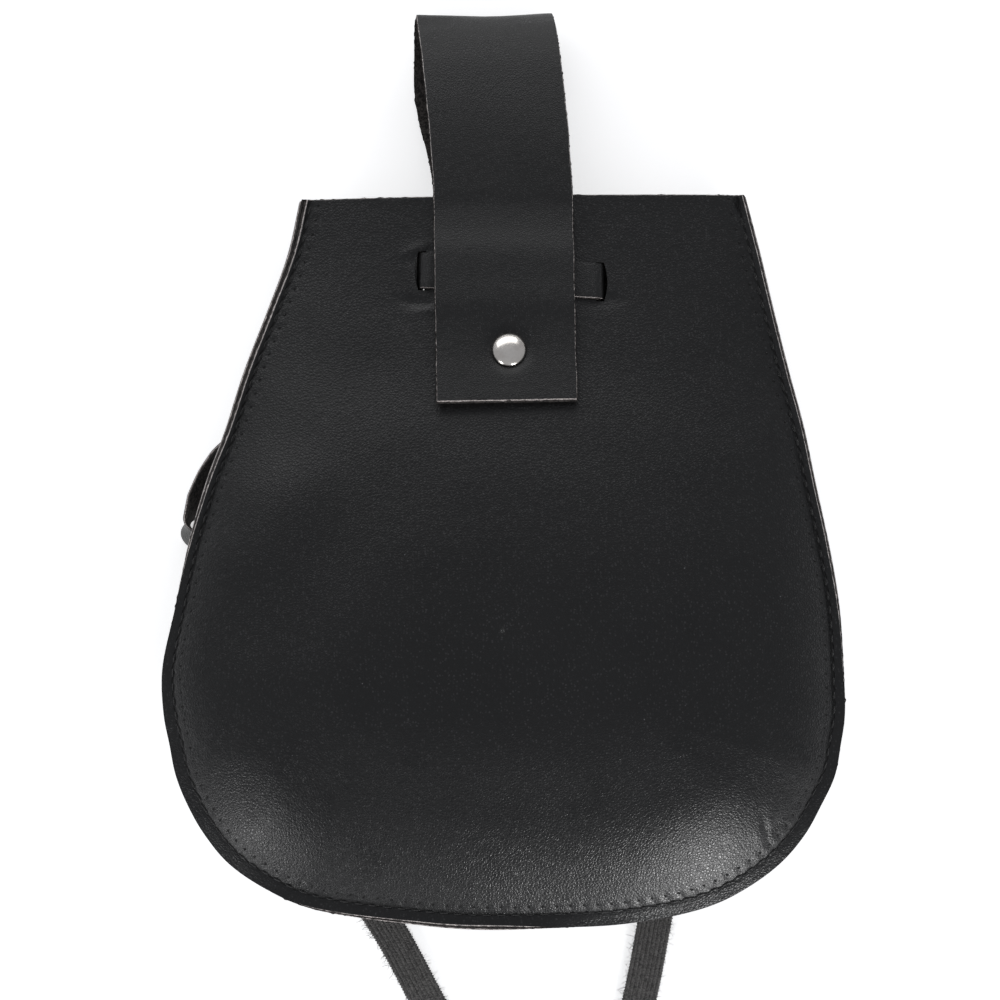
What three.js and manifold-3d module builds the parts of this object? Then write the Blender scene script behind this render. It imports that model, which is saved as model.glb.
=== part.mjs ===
// A medieval belt pouch of black leather, lying face down with its back up and its mouth towards +Y.
// z = 0 is the surface that it lies on, x = 0 is the middle of the body and y = 0 its lowest edge, before the whole
// group is moved so that its origin is at the middle of its own base.
import * as THREE from 'three';
import { mergeVertices } from 'three/addons/utils/BufferGeometryUtils.js';
import Module from 'manifold-3d';

const wasm = await Module();
wasm.setup();

// Driving sizes, in millimetres and degrees.
const bodyHeight = 206;
const bodyHalfWidth = 95.5;
const panelThickness = 1.5;
const clearance = 0.3;
const flangeWidth = 5; // from the seam out to the cut edge
const flangeTurn = 32; // how far the flange beside the upper left seam is turned up
const edgeStep = 0.95; // how far the front panel's cut edge stands out beyond the back panel's
const seamHeight = 20; // over the surface, at the widest part
const backDepth = 18.5; // of the back panel over the seam
const frontDepth = 22; // of the front panel under the seam, before the surface flattens it
const backRise = 21; // distance from the seam in which the back rises by two thirds
const frontRise = 15;

const strapWidth = 39;
const strapThickness = 1.6;
const strapEndHeight = 147.5; // height on the body of the strap's cut ends
const strapAside = 0.8; // from the middle, at the cut ends
const strapLean = 1.1; // how far its line leans to the left from there to the mouth
const loopReach = 52; // how far the belt loop stands out beyond the mouth
const loopHeight = 17; // of the loop's outer layer over the surface, half way out

const rivetInset = 14.5; // from the strap's cut ends up to the rivet
const rivetAside = 1.4; // from the middle
const rivetCapDiameter = 9.5;
const rivetCapHeight = 2.2;
const rivetShankDiameter = 3.2;
const rivetInnerDiameter = 8;
const rivetInnerThickness = 1;

const stripWidth = 10;
const stripThickness = 1.4;
const slotRise = 21; // from the rivet up to the two slots
const slotSpan = 51.5; // between the middles of the two slots
const slotAside = 2; // from the body's middle to the middle between the slots
const slotSlope = 1.6; // how much higher the left slot lies than the middle between them, and lower the right one
const slotWidth = 4;
const slotEase = 1; // how much longer a slot is than what passes through it is wide

const tapeWidth = 10;
const tapeThickness = 1.2;
const tapeSlotWidth = 2.6;
const tapeEdgeInset = 0.3; // the woven tape's rounded edge

const rivetHeight = strapEndHeight + rivetInset;
const slotHeight = rivetHeight + slotRise;

// One row for each section of the body, from its lowest edge to its mouth. height is a share of bodyHeight, left and
// right are the outline's reach as shares of bodyHalfWidth, seam is the seam's height as a share of seamHeight, and
// back and front are the depths of the two panels as shares of backDepth and frontDepth.
const sections = [
  { height: 0, left: 0.07, right: 0, seam: 0.97, back: 0.8, front: 0.95 },
  { height: 0.0068, left: 0.268, right: 0.326, seam: 0.97, back: 0.81, front: 0.95 },
  { height: 0.0272, left: 0.566, right: 0.565, seam: 0.98, back: 0.83, front: 0.96 },
  { height: 0.0476, left: 0.672, right: 0.674, seam: 0.98, back: 0.84, front: 0.97 },
  { height: 0.0884, left: 0.801, right: 0.803, seam: 0.99, back: 0.88, front: 0.98 },
  { height: 0.129, left: 0.874, right: 0.88, seam: 1, back: 0.91, front: 0.99 },
  { height: 0.17, left: 0.924, right: 0.93, seam: 1, back: 0.94, front: 1 },
  { height: 0.211, left: 0.959, right: 0.971, seam: 1, back: 0.96, front: 1 },
  { height: 0.252, left: 0.977, right: 0.988, seam: 1, back: 0.98, front: 1 },
  { height: 0.292, left: 0.994, right: 1, seam: 0.99, back: 1, front: 0.99 },
  { height: 0.354, left: 1, right: 0.997, seam: 0.97, back: 1, front: 0.95 },
  { height: 0.435, left: 0.967, right: 0.985, seam: 0.95, back: 0.96, front: 0.91 },
  { height: 0.517, left: 0.931, right: 0.956, seam: 0.92, back: 0.89, front: 0.84 },
  { height: 0.61, left: 0.874, right: 0.914, seam: 0.87, back: 0.76, front: 0.68 },
  { height: 0.68, left: 0.818, right: 0.884, seam: 0.81, back: 0.65, front: 0.54 },
  { height: 0.762, left: 0.762, right: 0.839, seam: 0.73, back: 0.52, front: 0.43 },
  { height: 0.844, left: 0.695, right: 0.796, seam: 0.67, back: 0.42, front: 0.34 },
  { height: 0.925, left: 0.633, right: 0.755, seam: 0.61, back: 0.35, front: 0.28 },
  { height: 1, left: 0.598, right: 0.713, seam: 0.56, back: 0.31, front: 0.24 },
];

// How the flange changes along the seam, from the left end of the mouth (0) round to the right end (1): width is a
// share of flangeWidth, turn of flangeTurn and step of edgeStep. Where turn is below 0, the flange hangs down.
const flangeRows = [
  { along: 0, width: 0.755, turn: 1, step: 1 },
  { along: 0.055, width: 0.68, turn: 0.63, step: 0.66 },
  { along: 0.11, width: 0.68, turn: 0.63, step: 0.66 },
  { along: 0.14, width: 0.66, turn: 0.45, step: 0.5 },
  { along: 0.18, width: 0.65, turn: 0.3, step: 0.35 },
  { along: 0.21, width: 0.65, turn: 0, step: 0 },
  { along: 0.24, width: 0.68, turn: -0.3, step: 0.1 },
  { along: 0.27, width: 0.78, turn: -0.5, step: 0.1 },
  { along: 0.31, width: 0.86, turn: -0.5, step: 0.1 },
  { along: 0.36, width: 0.95, turn: -0.45, step: 0.3 },
  { along: 0.39, width: 0.98, turn: -0.05, step: 0.6 },
  { along: 0.5, width: 1, turn: 0.3, step: 0.95 },
  { along: 0.525, width: 0.99, turn: 0, step: 0.7 },
  { along: 0.55, width: 0.98, turn: -0.5, step: 0.4 },
  { along: 0.58, width: 0.98, turn: -0.7, step: 0.4 },
  { along: 0.635, width: 0.95, turn: -0.55, step: 0.3 },
  { along: 0.69, width: 0.85, turn: -0.2, step: 0.3 },
  { along: 0.72, width: 0.8, turn: 0, step: 0.3 },
  { along: 0.8, width: 0.68, turn: 0.4, step: 0.3 },
  { along: 1, width: 0.66, turn: 0.45, step: 0.4 },
];

// Soft folds of the back panel. aside is a share of bodyHalfWidth and height of bodyHeight, length and width are
// shares of bodyHalfWidth, turn is the fold's direction in degrees from +X, and depth is a share of backDepth.
const folds = [
  { aside: -0.68, height: 0.57, length: 0.4, width: 0.14, turn: 33, depth: 0.07 },
  { aside: -0.7, height: 0.45, length: 0.3, width: 0.17, turn: 50, depth: -0.07 },
  { aside: -0.2, height: 0.7, length: 0.5, width: 0.2, turn: 60, depth: -0.04 },
  { aside: 0.62, height: 0.62, length: 0.5, width: 0.16, turn: 105, depth: -0.05 },
  { aside: 0.55, height: 0.17, length: 0.3, width: 0.15, turn: 25, depth: 0.06 },
  { aside: -0.62, height: 0.16, length: 0.3, width: 0.13, turn: 130, depth: 0.05 },
];

// Sampling of the surfaces and of the bands.
const strapSteps = 76;
const stripSteps = 110;
const tapeSteps = 36;
const roundSides = 16; // of the rivet's hole
const latheSides = 28; // of the rivet
const curveSteps = 20; // for each point of a curve, where its length is measured
const seamStations = 56;
const sideStations = 16; // stations down each straight side
const acrossShares = [0, 0.035, 0.08, 0.14, 0.22, 0.33, 0.47, 0.64, 0.82];
const spineFoot = 0.42; // where the fan of the round bottom starts, as a share of bodyHeight

const degrees = Math.PI / 180;

// The value of a table's column at a place between its rows, in a straight line from row to row.
function column(rows, key, name, at) {
  const next = rows.findIndex((row) => row[key] >= at);
  if (next < 0) {
    return rows[rows.length - 1][name];
  }
  if (next === 0) {
    return rows[0][name];
  }
  const [a, b] = [rows[next - 1], rows[next]];
  const share = (at - a[key]) / (b[key] - a[key]);
  return THREE.MathUtils.lerp(a[name], b[name], share);
}

function sectionValue(name, y) {
  return column(sections, 'height', name, y / bodyHeight);
}

function flangeValue(name, along) {
  return column(flangeRows, 'along', name, along);
}

// The body's outline from the left end of the mouth, down and round to the right end.
function outlineCurve() {
  const placed = (row, reach) => new THREE.Vector3(reach * bodyHalfWidth, row.height * bodyHeight, 0);
  const left = sections.map((row) => placed(row, -row.left));
  const right = sections.slice(1).map((row) => placed(row, row.right));
  return new THREE.CatmullRomCurve3([...left.reverse(), ...right], false, 'centripetal');
}

// One station for each place along the seam: the cut edge, the seam inside it and the flange's own values.
function seamLine() {
  const curve = outlineCurve();
  const stations = [];
  for (let i = 0; i <= seamStations; i += 1) {
    const along = i / seamStations;
    const edge = curve.getPointAt(along);
    const tangent = curve.getTangentAt(along);
    const inward = new THREE.Vector3(-tangent.y, tangent.x, 0);
    const turn = flangeValue('turn', along) * flangeTurn * degrees;
    const width = flangeValue('width', along) * flangeWidth;
    const seam = edge.clone().addScaledVector(inward, width * Math.cos(turn));
    if (i === 0 || i === seamStations) {
      seam.y = edge.y;
    }
    stations.push({ edge, seam, inward, turn, step: flangeValue('step', along) * edgeStep });
  }
  return stations;
}

const stations = seamLine();

// The distance from a place inside the body to the seam, in plan.
function seamDistance(x, y) {
  let nearest = Infinity;
  for (let i = 0; i < stations.length - 1; i += 1) {
    const a = stations[i].seam;
    const b = stations[i + 1].seam;
    const [dx, dy] = [b.x - a.x, b.y - a.y];
    const share = THREE.MathUtils.clamp(((x - a.x) * dx + (y - a.y) * dy) / (dx * dx + dy * dy), 0, 1);
    nearest = Math.min(nearest, Math.hypot(x - a.x - share * dx, y - a.y - share * dy));
  }
  return nearest;
}

// How much the soft folds raise the back panel at a place.
function foldRise(x, y) {
  let rise = 0;
  for (const fold of folds) {
    const [dx, dy] = [x - fold.aside * bodyHalfWidth, y - fold.height * bodyHeight];
    const [c, s] = [Math.cos(fold.turn * degrees), Math.sin(fold.turn * degrees)];
    const along = (dx * c + dy * s) / (fold.length * bodyHalfWidth);
    const across = (dy * c - dx * s) / (fold.width * bodyHalfWidth);
    rise += fold.depth * backDepth * Math.exp(-(along * along) - across * across);
  }
  return rise;
}

function seamLevel(y) {
  return sectionValue('seam', y) * seamHeight;
}

// The inner face of each panel over the surface at a place inside the seam.
function backInside(x, y) {
  const swell = 1 - Math.exp(-seamDistance(x, y) / backRise);
  return seamLevel(y) + clearance / 2 + swell * (sectionValue('back', y) * backDepth + foldRise(x, y));
}

function frontInside(x, y) {
  const swell = 1 - Math.exp(-seamDistance(x, y) / frontRise);
  const free = seamLevel(y) - clearance / 2 - swell * sectionValue('front', y) * frontDepth;
  return Math.max(free, panelThickness);
}

// The outer face of each panel, straight over the same place.
function backOutside(x, y) {
  const step = clearance;
  const slopeX = (backInside(x + step, y) - backInside(x - step, y)) / (2 * step);
  const slopeY = (backInside(x, y + step) - backInside(x, y - step)) / (2 * step);
  return backInside(x, y) + panelThickness * Math.hypot(1, slopeX, slopeY);
}

function frontOutside(x, y) {
  return frontInside(x, y) - panelThickness;
}

// A geometry from rows of vertices and triangles of their numbers.
function geometryOf(points, triangles) {
  const geometry = new THREE.BufferGeometry();
  geometry.setAttribute('position', new THREE.Float32BufferAttribute(points.flatMap((p) => [p.x, p.y, p.z]), 3));
  geometry.setIndex(triangles);
  return geometry;
}

// The grid of one panel's inner face: a row of places for each station of the seam, from the cut edge over the flange
// and the seam to the spine, whose places are shared by the left and the right side.
function panelGrid(side) {
  const isBack = side > 0;
  const inside = isBack ? backInside : frontInside;
  const points = [];
  const rows = [];
  const spineX = (stations[0].edge.x + stations[seamStations].edge.x) / 2;
  const footY = spineFoot * bodyHeight;
  const spine = [];
  for (let k = 0; k <= sideStations; k += 1) {
    const y = THREE.MathUtils.lerp(bodyHeight, footY, k / sideStations);
    const x = THREE.MathUtils.lerp(spineX, 0, k / sideStations);
    spine.push(points.push(new THREE.Vector3(x, y, inside(x, y))) - 1);
  }
  stations.forEach((station, i) => {
    const half = (side * clearance) / 2 / Math.cos(station.turn);
    const level = seamLevel(station.seam.y);
    const middle = points[spine[Math.min(i, sideStations, seamStations - i)]];
    const cut = station.edge.clone();
    if (isBack) {
      cut.addScaledVector(station.inward, station.step * Math.cos(station.turn));
    }
    if (i === 0 || i === seamStations) {
      cut.y = bodyHeight;
    }
    const out = cut.distanceTo(station.seam) * Math.tan(station.turn);
    const row = [points.push(new THREE.Vector3(cut.x, cut.y, level + half + out)) - 1];
    for (const share of acrossShares) {
      const [x, y] = [
        THREE.MathUtils.lerp(station.seam.x, middle.x, share),
        THREE.MathUtils.lerp(station.seam.y, middle.y, share),
      ];
      const z = share === 0 ? level + half : inside(x, y);
      row.push(points.push(new THREE.Vector3(x, y, z)) - 1);
    }
    row.push(spine[Math.min(i, sideStations, seamStations - i)]);
    rows.push(row);
  });
  return { points, rows };
}

// The triangles of a grid of rows, seen with +Z towards the viewer, without those of no area at the fan's middle.
function gridTriangles(rows) {
  const triangles = [];
  for (let i = 0; i < rows.length - 1; i += 1) {
    for (let j = 0; j < rows[i].length - 1; j += 1) {
      const [a, b, c, d] = [rows[i][j], rows[i + 1][j], rows[i + 1][j + 1], rows[i][j + 1]];
      triangles.push(a, b, c);
      if (c !== d) {
        triangles.push(a, c, d);
      }
    }
  }
  return triangles;
}

// The numbers of the vertices round a panel's rim: along the cut edge, then along the mouth.
function rimOf(rows) {
  const edge = rows.map((row) => row[0]);
  const right = rows[rows.length - 1].slice(1);
  const left = rows[0].slice(1, -1).reverse();
  return [...edge, ...right, ...left];
}

// One panel as a closed sheet: its inner face, its outer face a wall's thickness away, and its rim.
function panelSheet(side) {
  const { points, rows } = panelGrid(side);
  const faces = gridTriangles(rows);
  const surface = geometryOf(points, faces);
  surface.computeVertexNormals();
  const normals = surface.getAttribute('normal');
  const outer = points.map((p, i) => {
    const normal = new THREE.Vector3().fromBufferAttribute(normals, i);
    return p.clone().addScaledVector(normal, side * panelThickness);
  });
  const count = points.length;
  const triangles = [];
  for (let i = 0; i < faces.length; i += 3) {
    const [a, b, c] = faces.slice(i, i + 3);
    const [inner, outerFace] = [[a, c, b], [a + count, b + count, c + count]];
    triangles.push(...(side > 0 ? [...inner, ...outerFace] : [...inner.reverse(), ...outerFace.reverse()]));
  }
  const rim = rimOf(rows);
  rim.forEach((a, i) => {
    const b = rim[(i + 1) % rim.length];
    const quad = side > 0 ? [a, b, b + count, a, b + count, a + count] : [a, b + count, b, a, a + count, b + count];
    triangles.push(...quad);
  });
  return geometryOf([...points, ...outer], triangles);
}

function toSolid(geometry) {
  const bare = geometry.clone();
  bare.deleteAttribute('normal');
  bare.deleteAttribute('uv');
  const merged = mergeVertices(bare, 1e-4);
  return new wasm.Manifold(
    new wasm.Mesh({
      numProp: 3,
      vertProperties: new Float32Array(merged.getAttribute('position').array),
      triVerts: new Uint32Array(merged.getIndex().array),
    }),
  );
}

function toGeometry(solid) {
  const mesh = solid.getMesh();
  const geometry = new THREE.BufferGeometry();
  geometry.setAttribute('position', new THREE.BufferAttribute(new Float32Array(mesh.vertProperties), 3));
  geometry.setIndex([...mesh.triVerts]);
  geometry.computeVertexNormals();
  return geometry;
}

// The sheet with each of the given geometries cut out of it.
function pierced(sheet, cutters) {
  const solid = cutters.reduce((rest, cutter) => rest.subtract(toSolid(cutter)), toSolid(sheet));
  return toGeometry(solid);
}

// A band swept along frames, each with a place, the direction across it and the direction out of its face. The
// section is a flat bar with its long edges rounded off by one small corner.
function sweptBand(frames, width, thickness, round, divisions, closed) {
  const [w, t] = [width / 2, thickness / 2];
  const section = [];
  for (let k = 0; k <= divisions; k += 1) {
    section.push([THREE.MathUtils.lerp(-w + round, w - round, k / divisions), -t]);
  }
  section.push([w, -t + round], [w, t - round]);
  for (let k = 0; k <= divisions; k += 1) {
    section.push([THREE.MathUtils.lerp(w - round, -w + round, k / divisions), t]);
  }
  section.push([-w, t - round], [-w, -t + round]);
  const points = frames.flatMap((frame) => section.map(([a, b]) => (
    frame.place.clone().addScaledVector(frame.across, a).addScaledVector(frame.out, b)
  )));
  const size = section.length;
  const triangles = [];
  const spans = closed ? frames.length : frames.length - 1;
  for (let i = 0; i < spans; i += 1) {
    const [here, next] = [i * size, ((i + 1) % frames.length) * size];
    for (let k = 0; k < size; k += 1) {
      const l = (k + 1) % size;
      triangles.push(here + k, next + k, next + l, here + k, next + l, here + l);
    }
  }
  if (!closed) {
    const face = section.map(([a, b]) => new THREE.Vector2(a, b));
    const last = (frames.length - 1) * size;
    for (const [a, b, c] of THREE.ShapeUtils.triangulateShape(face, [])) {
      triangles.push(a, b, c, last + a, last + c, last + b);
    }
  }
  return geometryOf(points, triangles);
}

// The frames of a band along a curve. wide gives the wanted direction across the band at each share of the curve, and
// the face looks the way that wide, crossed with the band's own direction, gives.
function bandFrames(curve, wide, steps, closed) {
  const frames = [];
  const count = closed ? steps : steps + 1;
  for (let i = 0; i < count; i += 1) {
    const share = i / steps;
    const tangent = curve.getTangentAt(share);
    const across = wide(share).clone();
    across.addScaledVector(tangent, -across.dot(tangent)).normalize();
    const out = new THREE.Vector3().crossVectors(across, tangent);
    frames.push({ place: curve.getPointAt(share), across, out });
  }
  return frames;
}

// A closed outline in plan, pulled up into a cutter that goes through everything between two heights.
function cutterOf(shape, low, high) {
  const geometry = new THREE.ExtrudeGeometry(shape, { depth: high - low, bevelEnabled: false, curveSegments: 10 });
  geometry.translate(0, 0, low);
  return geometry;
}

const slotLeft = slotAside - slotSpan / 2;
const slotRight = slotAside + slotSpan / 2;
const slotLength = stripWidth + slotEase;

// The height on the body of the closure strip's middle, at a place along the way between the slots.
function bridgeHeight(x) {
  return slotHeight - (slotSlope * (x - slotAside) * 2) / slotSpan;
}

// A D-shaped slot with its round side away from the strap; hand is -1 on the left and 1 on the right.
function roundSlot(x, hand) {
  const shape = new THREE.Shape();
  const middle = bridgeHeight(x);
  const [low, high] = [middle - slotLength / 2, middle + slotLength / 2];
  const near = x - hand * slotWidth * 0.5;
  const far = x + hand * slotWidth * 0.15;
  shape.moveTo(near, low);
  shape.lineTo(far, low);
  shape.quadraticCurveTo(far + hand * slotWidth * 0.6, middle, far, high);
  shape.lineTo(near, high);
  shape.closePath();
  return shape;
}

// A plain slot with square ends, turned to face a direction in plan.
function plainSlot(x, y, length, width, turn) {
  const [c, s] = [Math.cos(turn), Math.sin(turn)];
  const shape = new THREE.Shape();
  [[-1, -1], [1, -1], [1, 1], [-1, 1]].forEach(([a, b], i) => {
    const [u, v] = [(a * length) / 2, (b * width) / 2];
    const place = [x + u * c - v * s, y + u * s + v * c];
    if (i === 0) {
      shape.moveTo(...place);
    } else {
      shape.lineTo(...place);
    }
  });
  shape.closePath();
  return shape;
}

// How far the strap is lifted off the back to pass over the closure strip.
function stripLift(y) {
  const reach = stripWidth + slotSlope;
  const away = (y - slotHeight) / reach;
  return (stripThickness + clearance) * Math.exp(-(away ** 4) / 1.6);
}

// The middle of one layer of the strap on the body: layer 0 lies on the back, layer 1 over it.
function strapOnBack(y, layer) {
  const edge = strapWidth / 2;
  const carried = Math.max(...[-edge, 0, edge].map((x) => backOutside(x, y)));
  const rest = carried + clearance + strapThickness / 2;
  return rest + stripLift(y) + layer * (strapThickness + clearance);
}

// The strap's places beyond the mouth, from its outer layer round the fold to the inner layer. reach is a share of
// loopReach, rise a share of loopHeight and aside a share of strapWidth.
const loopRows = [
  { reach: 0.28, rise: 1.2, aside: -0.03 },
  { reach: 0.55, rise: 1.06, aside: -0.063 },
  { reach: 0.78, rise: 0.87, aside: -0.096 },
  { reach: 0.93, rise: 0.65, aside: -0.125 },
  { reach: 0.985, rise: 0.44, aside: -0.145 },
  { reach: 0.94, rise: 0.23, aside: -0.155 },
  { reach: 0.8, rise: 0.125, aside: -0.16 },
  { reach: 0.6, rise: 0.17, aside: -0.155 },
  { reach: 0.42, rise: 0.36, aside: -0.11 },
  { reach: 0.24, rise: 0.68, aside: -0.05 },
];

function strapCurve() {
  const seat = bodyHeight - strapEndHeight;
  const shares = [0, 0.12, 0.25, 0.38, 0.48, 0.6, 0.72, 0.84, 0.94, 1.03];
  const onBack = (share, layer) => {
    const y = strapEndHeight + share * seat;
    const x = strapAside - share * strapLean;
    return new THREE.Vector3(x, y, strapOnBack(Math.min(y, bodyHeight), layer));
  };
  const beyond = loopRows.map((row) => (
    new THREE.Vector3(row.aside * strapWidth, bodyHeight + row.reach * loopReach, row.rise * loopHeight)
  ));
  const outer = shares.map((share) => onBack(share, 1));
  const inner = shares.map((share) => onBack(share, 0)).reverse();
  return new THREE.CatmullRomCurve3([...outer, ...beyond, ...inner], false, 'centripetal');
}

function strapBand() {
  const frames = bandFrames(strapCurve(), () => new THREE.Vector3(-1, 0, 0), strapSteps, false);
  return sweptBand(frames, strapWidth, strapThickness, strapThickness / 6, 2, false);
}

// The rivet's axis leans with the strap where it is riveted down. seat is the height of the underside of its cap, and
// grip the way from there to the inner cap. turned places a geometry that is made about the z axis.
const rivetLean = Math.atan2(
  strapOnBack(rivetHeight + rivetCapDiameter / 2, 1) - strapOnBack(rivetHeight - rivetCapDiameter / 2, 1),
  rivetCapDiameter,
);
const rivetSeat = strapOnBack(rivetHeight, 1) + strapThickness / 2 + clearance;
const rivetGrip = rivetSeat - backInside(rivetAside, rivetHeight) + clearance;

function turned(geometry) {
  geometry.rotateX(rivetLean);
  geometry.translate(rivetAside, rivetHeight, rivetSeat);
  return geometry;
}

function rivetHole() {
  const radius = rivetShankDiameter / 2 + clearance;
  const cylinder = new THREE.CylinderGeometry(radius, radius, 4 * rivetGrip, roundSides);
  cylinder.rotateX(Math.PI / 2);
  return turned(cylinder);
}

function rivetSolid() {
  const [cap, shank, inner] = [rivetCapDiameter / 2, rivetShankDiameter / 2, rivetInnerDiameter / 2];
  const foot = -rivetGrip - rivetInnerThickness;
  const profile = new THREE.Path();
  profile.moveTo(0, foot);
  profile.lineTo(inner * 0.8, foot);
  profile.lineTo(inner, foot + rivetInnerThickness * 0.6);
  profile.lineTo(inner, -rivetGrip);
  profile.lineTo(shank, -rivetGrip);
  profile.lineTo(shank, 0);
  profile.lineTo(cap, 0);
  profile.lineTo(cap, rivetCapHeight * 0.25);
  profile.quadraticCurveTo(cap * 0.92, rivetCapHeight, 0, rivetCapHeight);
  const geometry = new THREE.LatheGeometry(profile.getPoints(7), latheSides);
  geometry.rotateX(Math.PI / 2);
  return turned(geometry);
}

// The closure strip's slack, from under the front panel out past the left edge and back under it. height is a share of
// bodyHeight; inset, from the left outline inward at that height, is a share of stripWidth; wx, wy and wz give the
// direction across the strip, which lies on the surface with its lowest edge.
const slackRows = [
  { height: 0.868, inset: 2.65, wx: -0.35, wy: 0.93, wz: 0 },
  { height: 0.818, inset: 2, wx: -0.7, wy: 0.7, wz: 0 },
  { height: 0.767, inset: 1.74, wx: -0.75, wy: 0.65, wz: 0 },
  { height: 0.728, inset: 1.2, wx: -0.65, wy: 0.65, wz: -0.25 },
  { height: 0.697, inset: 0.58, wx: -0.1, wy: 0.35, wz: -0.85 },
  { height: 0.672, inset: 0.2, wx: 0.3, wy: 0.1, wz: -0.95 },
  { height: 0.641, inset: -0.06, wx: 0.48, wy: 0, wz: -0.87 },
  { height: 0.614, inset: -0.16, wx: 0.55, wy: 0, wz: -0.83 },
  { height: 0.587, inset: -0.3, wx: 0.4, wy: -0.05, wz: -0.9 },
  { height: 0.561, inset: -0.42, wx: -0.15, wy: -0.2, wz: -1 },
  { height: 0.536, inset: -0.22, wx: -0.5, wy: -0.3, wz: -0.9 },
  { height: 0.517, inset: 0.38, wx: -0.3, wy: 0, wz: -0.9 },
  { height: 0.511, inset: 0.92, wx: 0, wy: 0.68, wz: -0.6 },
  { height: 0.512, inset: 1.5, wx: 0, wy: 0.95, wz: -0.22 },
  { height: 0.527, inset: 2, wx: -0.6, wy: 0.8, wz: 0 },
  { height: 0.563, inset: 2.15, wx: -0.8, wy: 0.55, wz: 0 },
  { height: 0.612, inset: 2.5, wx: -0.75, wy: 0.65, wz: 0 },
  { height: 0.665, inset: 3.4, wx: -0.6, wy: 0.8, wz: 0 },
  { height: 0.728, inset: 5, wx: -0.55, wy: 0.83, wz: 0 },
  { height: 0.82, inset: 6.6, wx: -0.5, wy: 0.86, wz: 0 },
  { height: 0.873, inset: 7.8, wx: -0.28, wy: 0.96, wz: 0 },
];

// The closure strip's route, one closed ring: over the back between the slots, down through the left slots of both
// panels, along the surface to its slack loop, and back up through the right slots.
function stripRoute() {
  const lie = clearance + stripThickness / 2;
  const bend = 2 * stripThickness;
  const top = (x) => backOutside(x, bridgeHeight(x));
  const under = (x) => frontOutside(x, bridgeHeight(x));
  const half = stripWidth / 2;
  const lean = (x) => {
    const y = bridgeHeight(x);
    return (backOutside(x, y + half) - backOutside(x, y - half)) / stripWidth;
  };
  const at = (x, z) => ({
    place: new THREE.Vector3(x, bridgeHeight(x), z),
    across: new THREE.Vector3(0, 1, z > under(x) + bend ? lean(x) : 0),
  });
  // From the bridge, round the edge of the back slot and down to the front slot; hand is -1 on the left and 1 on the
  // right. corner is the way from the slot's middle to that edge, and round the distance kept from it.
  const corner = slotWidth / 2;
  const round = lie + clearance * 0.6;
  const passage = (x, hand) => [
    at(x - hand * (corner + 3 * round), top(x - hand * (corner + 3 * round)) + lie),
    at(x - hand * (corner + 0.4 * round), top(x - hand * corner) + round),
    at(x - hand * (corner - 0.7 * round), top(x) + 0.72 * round),
    at(x - hand * (corner - round), top(x)),
    at(x - hand * (corner - round) * 0.4, top(x) - panelThickness),
    at(x, top(x) - panelThickness * 2.2),
    at(x, (top(x) + under(x)) / 2),
    at(x, under(x) + panelThickness + clearance),
  ];
  const left = [...passage(slotLeft, -1), at(slotLeft - bend * 0.3, under(slotLeft) - bend * 0.35)];
  left.push(at(slotLeft - bend * 1.5, lie + clearance));
  const right = [...passage(slotRight, 1), at(slotRight - bend * 0.3, under(slotRight) - bend * 0.35)];
  right.push(at(slotRight - bend * 1.5, lie + clearance));
  const slack = slackRows.map((row) => {
    const y = row.height * bodyHeight;
    const x = row.inset * stripWidth - sectionValue('left', y) * bodyHalfWidth;
    const wide = new THREE.Vector3(row.wx, row.wy, row.wz).normalize();
    const flat = Math.hypot(wide.x, wide.y);
    const z = clearance + (Math.abs(wide.z) * stripWidth + flat * stripThickness) / 2;
    return { place: new THREE.Vector3(x, y, z + clearance * 0.7), across: wide };
  });
  return [at(slotAside, top(slotAside) + lie), ...left, ...slack, ...right.reverse()];
}

// The place along a closed curve of each of its own points, as shares of its length.
function pointShares(curve) {
  const lengths = curve.getLengths(curve.points.length * curveSteps);
  return curve.points.map((_, i) => lengths[i * curveSteps] / lengths[lengths.length - 1]);
}

function stripBand() {
  const route = stripRoute();
  const curve = new THREE.CatmullRomCurve3(route.map((stop) => stop.place), true, 'centripetal');
  curve.arcLengthDivisions = route.length * curveSteps;
  const shares = [...pointShares(curve), 1];
  const wide = (share) => {
    const next = shares.findIndex((value) => value > share);
    const [a, b] = [route[next - 1], route[next % route.length]];
    const part = (share - shares[next - 1]) / (shares[next] - shares[next - 1]);
    return a.across.clone().normalize().lerp(b.across.clone().normalize(), THREE.MathUtils.smoothstep(part, 0, 1));
  };
  return sweptBand(bandFrames(curve, wide, stripSteps, true), stripWidth, stripThickness, stripThickness / 6, 1, true);
}

// The two flat tapes that hang out of the front panel's lower end. x and y are where each one's slot is, endX and endY
// where its cut end lies; the points between are worked out along the way, and all of them lie on the surface past
// the slot.
const tapeRoutes = {
  tape_left: { x: -46.2, y: 19.3, endX: -16.9, endY: -31.9 },
  tape_right: { x: 48.2, y: 23.6, endX: 36.6, endY: -33 },
};

// The direction in plan in which a tape runs from its slot to its end.
function tapeHeading(tape) {
  return new THREE.Vector3(tape.endX - tape.x, tape.endY - tape.y, 0).normalize();
}

function tapeCurve(tape) {
  const heading = tapeHeading(tape);
  const start = new THREE.Vector3(tape.x, tape.y, 0);
  const length = Math.hypot(tape.endX - tape.x, tape.endY - tape.y);
  const lie = clearance + tapeThickness / 2;
  const wall = frontOutside(tape.x, tape.y);
  const at = (along, z) => start.clone().addScaledVector(heading, along).setZ(z);
  return new THREE.CatmullRomCurve3([
    at(0, wall + 3 * panelThickness),
    at(0, wall + 1.5 * panelThickness),
    at(0.1, wall),
    at(1, THREE.MathUtils.lerp(lie, wall, 0.45)),
    at(3.6, lie + 0.6),
    at(8, lie),
    ...[0.3, 0.45, 0.6, 0.75, 0.9, 1].map((share) => at(share * length, lie)),
  ], false, 'centripetal');
}

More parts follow.
